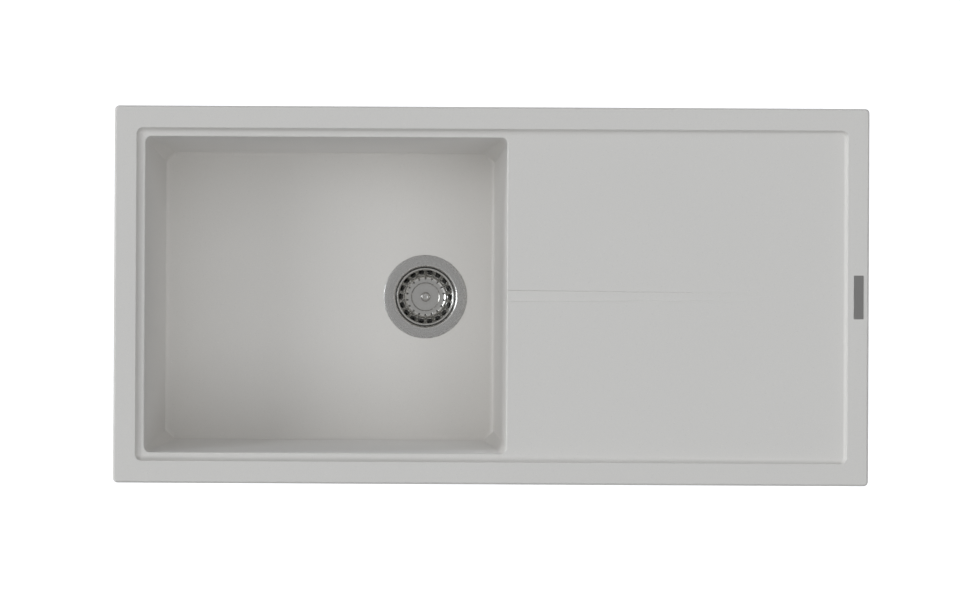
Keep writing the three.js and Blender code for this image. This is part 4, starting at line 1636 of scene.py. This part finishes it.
@dataclass
class StrainerBasket:
    """The lift-out basket's slotted cup and its knob."""

    centre: Flat
    top: float
    lip_radius: float = 38.8
    sheet: float = 0.8
    height: float = 23.2
    slots: int = 18
    slot_ends: Flat = (30.9, 36.5)
    slot_end_run: float = 1.7
    slot_end_narrowing: float = 0.45
    slope_heights: Flat = (4.5, 10.9)
    rib_width: float = 4.1
    hole_radius: float = 0.95
    hole_ring: float = 25.0
    panel_radius: float = 18.7
    panel_rise: float = 0.8
    neck_radius: float = 4.2

    def profile(self) -> list[Flat]:
        """The cup's inner face in section.

        Returns:
            Its radii and heights, from the lip in to the middle.
        """
        top = self.top
        floor = top - self.height
        near, far = self.slot_ends
        foot, head = self.slope_heights
        shares = (1.0, 0.94, 0.86, 0.7, 0.5, 0.3, 0.14, 0.06, 0.0)
        slope = [(near + (far - near) * share, floor + foot + (head - foot) * share, 0) for share in shares]
        corners = [
            (self.lip_radius, top - 0.9, 0),
            (self.lip_radius, top, 0.5),
            (37.6, top, 0.6),
            (37.2, top - 1.6, 0.6),
            (37.1, top - 10.9, 1.2),
            *slope,
            (29.6, floor + 3.0, 0),
            (28.1, floor + 1.65, 0),
            (26.1, floor + 0.6, 0),
            (24.1, floor + 0.15, 0),
            (22.0, floor, 0),
            (self.panel_radius + 0.7, floor, 0.6),
            (self.panel_radius - 0.7, floor + self.panel_rise, 0.6),
            (10.0, floor + self.panel_rise, 0),
            (3.3, floor + self.panel_rise, 0),
        ]
        return rounded_path(corners, 3)

    def columns(self, radius: float) -> list[float]:
        """The directions of the mesh's columns within one slot's pitch, in degrees from the slot's middle.

        Args:
            radius: The ring's radius.

        Returns:
            Eight directions. The slot lies between the third and the seventh.
        """
        pitch = 360 / self.slots
        if radius > self.hole_ring + 1.8:
            rib = math.degrees(math.asin(self.rib_width / 2 / radius))
            end = min(abs(radius - at) for at in self.slot_ends) / self.slot_end_run
            rounding = 1 - self.slot_end_narrowing * (1 - min(end, 1.0)) ** 2
            slot = (pitch / 2 - rib) * rounding
            shoulder = (slot + pitch / 2 - rib * 0.4) / 2
            return [-pitch / 2, -shoulder, -slot, -slot / 2, 0.0, slot / 2, slot, shoulder]
        hole = math.degrees(math.asin(self.hole_radius * 1.15 / max(radius, self.hole_ring - 3)))
        edge = pitch / 2 - hole
        return [-pitch / 2, -edge, -edge * 0.6, -edge * 0.3, 0.0, edge * 0.3, edge * 0.6, edge]

    def ring(self, radius: float, z: float) -> list[Point]:
        """The mesh's points at one radius.

        Args:
            radius: The radius.
            z: Their height.

        Returns:
            The points, slot by slot.
        """
        pitch = 360 / self.slots
        turns = [pitch * i + turn for i in range(self.slots) for turn in self.columns(radius)]
        return [(*polar(self.centre, radius, math.radians(turn)), z) for turn in turns]

    def make_cup(self, look: bpy.types.Material) -> None:
        """Builds the cup as one sheet with its slots and small holes left open.

        Args:
            look: The polished steel's material.
        """
        skin = Skin()
        profile = self.profile()
        rings = [skin.ring(self.ring(r, z)) for r, z in profile]
        near, far = self.slot_ends

        def on_rib(column: int) -> bool:
            """Whether a column of the slope lies on a rib."""
            return not 2 <= column % 8 < 6

        def beside_hole(column: int) -> bool:
            """Whether a column of the floor lies beside a small hole, and not over it."""
            return column % 8 not in (0, 7)

        for low, high, (r0, _), (r1, _) in zip(rings, rings[1:], profile, profile[1:]):
            if r0 <= far + 0.01 and r1 >= near - 0.01:
                skin.bridge(low, high, on_rib)
            elif -1.0 < (r0 + r1) / 2 - self.hole_ring < 1.2:
                skin.bridge(low, high, beside_hole)
            else:
                skin.bridge(low, high)
        piece = skin.build("strainer_cup", "strainer_basket", look, crease=60.0)
        thicken(piece, self.sheet)
        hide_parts("basket_cup")
        LOG.info("strainer_cup: %d faces", len(piece.data.polygons))

    def make_knob(self, look: bpy.types.Material) -> None:
        """Builds the turned knob.

        Args:
            look: The polished steel's material.
        """
        low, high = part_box("basket_knob")
        foot, top = low.z / MM, high.z / MM
        radius, neck = (high.x - low.x) / 2 / MM, self.neck_radius
        section = [
            (0.0, top - 0.2, 0),
            (2.4, top - 0.2, 0.1),
            (2.9, top, 0.1),
            (neck, top, 0.4),
            (radius - 0.3, top - 0.8, 0.4),
            (radius, top - 1.6, 0.3),
            (radius, foot + 7.0, 1.2),
            (neck, foot + 5.5, 1.2),
            (neck, foot + 1.6, 1.0),
            (radius, foot + 0.6, 0.3),
            (radius, foot, 0.2),
            (3.3, foot, 0.2),
            (3.3, foot + 6.3, 0.3),
            (0.0, foot + 6.3, 0),
        ]
        skin = Skin()
        skin.turn(rounded_path(section), self.centre, 64)
        piece = skin.build("strainer_knob", "strainer_basket", look, crease=50.0)
        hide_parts("basket_knob")
        LOG.info("strainer_knob: %d faces", len(piece.data.polygons))


# ---------------------------------------------------------------- small pieces of the rim


@dataclass
class BadgePlate:
    """The bare steel plate let into the rim."""

    corner_radius: float = 1.0
    edge_radius: float = 0.25

    def make(self, look: bpy.types.Material) -> None:
        """Builds the plate with rounded corners and soft edges.

        Args:
            look: The brushed plate's material.
        """
        low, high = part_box("badge_plate")
        x0, y0, z0 = (c / MM for c in low)
        x1, y1, z1 = (c / MM for c in high)
        rings = []
        for inset, z in self.levels(z0, z1):
            rings.append([(x, y, z) for x, y in self.outline(x0 + inset, x1 - inset, y0 + inset, y1 - inset)])
        skin = Skin()
        last = skin.stack(rings)
        skin.fill(last)
        skin.fill(range(len(last))[::-1])
        piece = skin.build("bare_plate", "sink", look)
        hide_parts("badge_plate")
        LOG.info("bare_plate: %d faces", len(piece.data.polygons))

    def levels(self, low: float, high: float) -> list[Flat]:
        """Where the plate's outlines lie.

        Args:
            low: The height of its foot.
            high: The height of its top.

        Returns:
            Their insets and heights, from the foot up.
        """
        bend = [math.pi / 2 * i / 4 for i in range(5)]
        radius = self.edge_radius
        return [(0.0, low), *((radius * (1 - math.cos(a)), high - radius * (1 - math.sin(a))) for a in bend)]

    def outline(self, x0: float, x1: float, y0: float, y1: float) -> list[Flat]:
        """A rounded rectangle, anticlockwise.

        Args:
            x0: Its left.
            x1: Its right.
            y0: Its front.
            y1: Its back.

        Returns:
            Its points.
        """
        radius, steps = self.corner_radius, 6
        left, right, front, back = x0 + radius, x1 - radius, y0 + radius, y1 - radius
        centres = [(right, back), (left, back), (left, front), (right, front)]
        return [
            polar(centre, radius, math.pi / 2 * (quarter + step / steps))
            for quarter, centre in enumerate(centres)
            for step in range(steps + 1)
        ]


@dataclass
class ClipLugs:
    """The lugs of the moulding that hold the worktop clips, each with the lower part of its dowel's hole."""

    moulding: Moulding
    radius: float = 7.0
    bore_radius: float = 4.25
    foot_bevel: float = 0.6
    foot_share: float = 0.93
    skirt_overlap: float = 1.0
    board_overlap: float = 0.5
    end_zone: float = 40.0
    steps: int = 32

    def make(self, look: bpy.types.Material) -> None:
        """Builds every lug, each over its own dowel.

        Args:
            look: The composite's material.
        """
        skin = Skin()
        dowels = [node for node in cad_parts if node.startswith("dowel_")]
        for node in dowels:
            low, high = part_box(node)
            middle = (low + high) / 2 / MM
            self.add_lug(skin, (middle.x, middle.y))
        skin.build("clip_lugs", "sink", look)
        LOG.info("clip_lugs: %d lugs", len(dowels))

    def add_lug(self, skin: Skin, centre: Flat) -> None:
        """Adds one lug: a round end, a straight back into the skirt and a hole up through it.

        Args:
            skin: The lugs' mesh.
            centre: The lug's place in plan.
        """
        shape = self.moulding
        foot = -shape.skirt_depth
        roof = shape.under_z + self.board_overlap
        along_x = abs(centre[0]) > shape.length / 2 - self.end_zone
        outward = math.atan2(0.0, centre[0]) if along_x else math.copysign(math.pi / 2, centre[1])
        half, middle = (shape.length / 2, centre[0]) if along_x else (shape.width / 2, centre[1])
        reach = half - shape.skirt_inset - shape.skirt_thickness + self.skirt_overlap - abs(middle)
        outer, inner = [], []
        for i in range(self.steps):
            angle = 2 * math.pi * i / self.steps
            x, y = polar((0.0, 0.0), self.radius, angle)
            outer.append(self.placed(centre, outward, min(x, reach), y))
            inner.append(self.placed(centre, outward, *polar((0.0, 0.0), self.bore_radius, angle)))
        soft = [self.shrunk(centre, p, self.foot_share) for p in outer]
        bevel = foot + self.foot_bevel
        levels = [(outer, roof), (outer, bevel), (soft, foot), (inner, foot), (inner, roof)]
        last = skin.stack([[(*p, z) for p in outline] for outline, z in levels])
        skin.bridge(last, [i - (len(levels) - 1) * self.steps for i in last])

    def placed(self, centre: Flat, outward: float, x: float, y: float) -> Flat:
        """A point of the lug's own plan, turned to face outward and moved into place."""
        cos, sin = math.cos(outward), math.sin(outward)
        return (centre[0] + x * cos - y * sin, centre[1] + x * sin + y * cos)

    def shrunk(self, centre: Flat, point: Flat, share: float) -> Flat:
        """A point drawn towards the lug's centre."""
        return (centre[0] + (point[0] - centre[0]) * share, centre[1] + (point[1] - centre[1]) * share)


# ---------------------------------------------------------------- studio


@dataclass(frozen=True)
class Softbox:
    """One distant softbox, which lights the whole sink alike."""

    name: str
    azimuth: float
    elevation: float
    spread: float
    strength: float
    distance_m: float = 3.0

    def make(self) -> None:
        """Builds the softbox."""
        light = bpy.data.lights.new(self.name, "SUN")
        light.angle = math.radians(self.spread)
        light.energy = self.strength
        light.color = DAYLIGHT[:3]
        holder = place(self.name, light)
        around, up = math.radians(self.azimuth), math.radians(self.elevation)
        back = Vector((math.cos(around) * math.cos(up), math.sin(around) * math.cos(up), math.sin(up)))
        holder.location = back * self.distance_m
        holder.rotation_mode = "QUATERNION"
        holder.rotation_quaternion = back.to_track_quat("Z", "Y")
        holder.visible_camera = False


@dataclass(frozen=True)
class Sky:
    """The studio's surroundings: a bright ring high up, brightest at the right, round a plain zenith."""

    zenith: float = 1.38
    zenith_rise: Flat = (0.93, 0.97)
    ring: float = 0.88
    ring_rise: Flat = (0.72, 0.8)
    ring_right: float = 1.8
    ring_front: float = 1.15
    slope_right: float = 0.95
    slope_rise: Flat = (0.45, 0.55)
    mirror: float = 0.4
    mirror_rise: Flat = (0.1, 0.5)
    mirror_ring: float = 0.35
    mirror_ring_rise: Flat = (0.6, 0.95)

    def make(self) -> None:
        """Builds the world from the direction that is looked in.

        The camera sees it white. Gloss sees it white low down and grey overhead, as a tall studio is.
        """
        world = bpy.data.worlds.new("studio")
        bpy.context.scene.world = world
        world.use_nodes = True
        graph = Graph(world.node_tree)
        x, y, z = graph.split(graph.node("ShaderNodeTexCoord").outputs["Generated"])
        right, front = x.maths("MAXIMUM", 0.0), (y * -1.0).maths("MAXIMUM", 0.0)
        slope, ring, zenith = (z.step(*rise) for rise in (self.slope_rise, self.ring_rise, self.zenith_rise))
        around = right * self.ring_right + front * self.ring_front + self.ring
        glow = right * self.slope_right * (slope - ring) + around * (ring - zenith) + zenith * self.zenith
        camera, glossy, through = graph.rays()
        low, high = z.step(*self.mirror_rise), z.step(*self.mirror_ring_rise)
        mirrored = 1.0 - low * (1.0 - self.mirror - self.mirror_ring) - high * self.mirror_ring
        seen = (camera + glossy + through).maths("MINIMUM", 1.0)
        paper = glossy * mirrored + (1.0 - glossy)
        sky = graph.node("ShaderNodeBackground", inputs={"Color": DAYLIGHT, "Strength": glow})
        backdrop = graph.node("ShaderNodeBackground", inputs={"Color": WHITE, "Strength": paper})
        both = graph.node("ShaderNodeMixShader", inputs={0: seen, 1: sky.outputs[0], 2: backdrop.outputs[0]})
        graph.node("ShaderNodeOutputWorld", inputs={"Surface": both.outputs[0]})


@dataclass
class Studio:
    """The floor, the light and the camera."""

    view_mm: Flat = (-17.0, -60.0)
    aim_mm: Flat = (-15.0, -5.8)
    roll_degrees: float = 0.286
    distance_m: float = 7.0
    pixels_per_mm: float = 0.7553
    image_width: int = 960
    sensor_mm: float = 36.0
    floor_reach_m: float = 20.0
    floor_gap_m: float = 0.001
    floor_colour: Colour = (0.6, 0.6, 0.6, 1.0)
    floor_roughness: float = 0.9
    floor_lift: float = 0.8
    sky: Sky = Sky()
    lamps: tuple[Softbox, ...] = (
        Softbox("left_softbox", azimuth=174.0, elevation=38.5, spread=24.0, strength=1.05),
        Softbox("low_left_softbox", azimuth=168.0, elevation=5.5, spread=8.0, strength=1.1),
    )

    def make_camera(self, rim_top_mm: float) -> None:
        """Builds the camera, straight above the sink.

        Args:
            rim_top_mm: The height of the rim's top, which the scale holds at.
        """
        data = bpy.data.cameras.new("camera")
        data.sensor_width = self.sensor_mm
        focal_pixels = self.pixels_per_mm * self.distance_m / MM
        data.lens = focal_pixels * self.sensor_mm / self.image_width
        data.clip_start, data.clip_end = 0.1, 100.0
        camera = place("camera", data)
        stand = Vector((*self.view_mm, rim_top_mm)) * MM + Vector((0.0, 0.0, self.distance_m))
        back = stand - Vector((*self.aim_mm, rim_top_mm)) * MM
        level = Vector((0.0, 0.0, 1.0)).rotation_difference(back)
        roll = Matrix.Rotation(math.radians(self.roll_degrees), 3, "Z").to_quaternion()
        camera.location = stand
        camera.rotation_mode = "QUATERNION"
        camera.rotation_quaternion = level @ roll
        bpy.context.scene.camera = camera

    def make_floor(self, z: float) -> None:
        """Builds the floor, which the camera sees lifted to white and which is clear from below.

        Args:
            z: Its height, in metres.
        """
        mesh = bpy.data.meshes.new("floor")
        reach = self.floor_reach_m
        corners = [(-reach, -reach, z), (reach, -reach, z), (reach, reach, z), (-reach, reach, z)]
        mesh.from_pydata(corners, [], [(0, 1, 2, 3)])
        floor = place("floor", mesh)
        shader = Shader("pale floor")
        shader.finish(Base_Color=self.floor_colour, Roughness=self.floor_roughness, Specular_IOR_Level=0.0)
        camera, glossy, through = shader.rays()
        lift = (camera + glossy + through).maths("MINIMUM", 1.0) * self.floor_lift
        glow = shader.node("ShaderNodeEmission", inputs={"Strength": lift})
        lit = shader.principled.outputs[0]
        both = shader.node("ShaderNodeAddShader", inputs={0: lit, 1: glow.outputs[0]})
        below = shader.node("ShaderNodeNewGeometry").outputs["Backfacing"]
        clear = shader.node("ShaderNodeBsdfTransparent").outputs[0]
        sided = shader.node("ShaderNodeMixShader", inputs={0: below, 1: both.outputs[0], 2: clear})
        shader.feed(shader.output.inputs["Surface"], sided.outputs[0])
        mesh.materials.append(shader.material)
        floor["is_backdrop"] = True

    def make(self, rim_top_mm: float, foot_z: float) -> None:
        """Builds everything round the sink.

        Args:
            rim_top_mm: The height of the rim's top.
            foot_z: The height of the sink's lowest point, in metres.
        """
        bpy.context.scene.view_settings.view_transform = "Standard"
        self.make_camera(rim_top_mm)
        self.sky.make()
        self.make_floor(foot_z - self.floor_gap_m)
        for lamp in self.lamps:
            lamp.make()
        LOG.info("studio: %d lamps", len(self.lamps))


# ---------------------------------------------------------------- putting it together


def dress_cad_nodes() -> None:
    """Gives every carried-over CAD node its material."""
    zinc = ZincFinish().material()
    black, cream = srgb(40, 40, 42), srgb(222, 218, 204)
    rubber = MouldedFinish("black rubber", black, 0.7, texture_per_m=900.0, relief_mm=0.03).material()
    nylon = MouldedFinish("natural nylon", cream, 0.45, texture_per_m=700.0, relief_mm=0.015).material()
    dress("centre_bolt", zinc, crease=30.0)
    dress("bolt_insert", BrassFinish().material())
    dress("rim_seal", FoamFinish().material())
    for node in ("upper_gasket", "lower_gasket", "basket_seal"):
        dress(node, rubber, crease=40.0)
    dress("basket_stem", nylon, crease=40.0)
    for node in sorted(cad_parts):
        if node.startswith("dowel_"):
            dress(node, nylon, crease=40.0)
        elif node.startswith("clamp_screw_"):
            dress(node, zinc, crease=50.0)
        elif node.startswith("claw_"):
            dress(node, zinc, crease=30.0, bevel_mm=0.25)


def main() -> None:
    """Builds the sink and its studio, in order."""
    logging.basicConfig(level=logging.INFO, format="%(name)s: %(message)s")
    cad_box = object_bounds()
    moulding = Moulding()
    composite = CompositeFinish().material()
    moulding.make(composite)
    ClipLugs(moulding).make(composite)
    BadgePlate().make(BrushedPlateFinish().material())
    drain = moulding.drain
    waste = WasteFitting(drain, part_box("waste_flange")[1].z / MM)
    waste.make_flange(TurnedSteelFinish("brushed flange steel", drain).material())
    plastic = MouldedFinish("white polypropylene", srgb(226, 226, 222), roughness=0.42).material()
    waste.make_body(plastic)
    waste.make_tail(plastic)
    bright = TurnedSteelFinish(
        "bright basket steel", drain, srgb(206, 205, 202), roughness=0.18, ring_per_m=1800.0, relief_mm=0.008
    )
    basket = StrainerBasket(drain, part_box("basket_cup")[1].z / MM)
    basket.make_cup(bright.material())
    basket.make_knob(bright.material())
    dress_cad_nodes()
    Studio().make(moulding.thickness, cad_box[0].z)


if __name__ == "__main__":
    main()
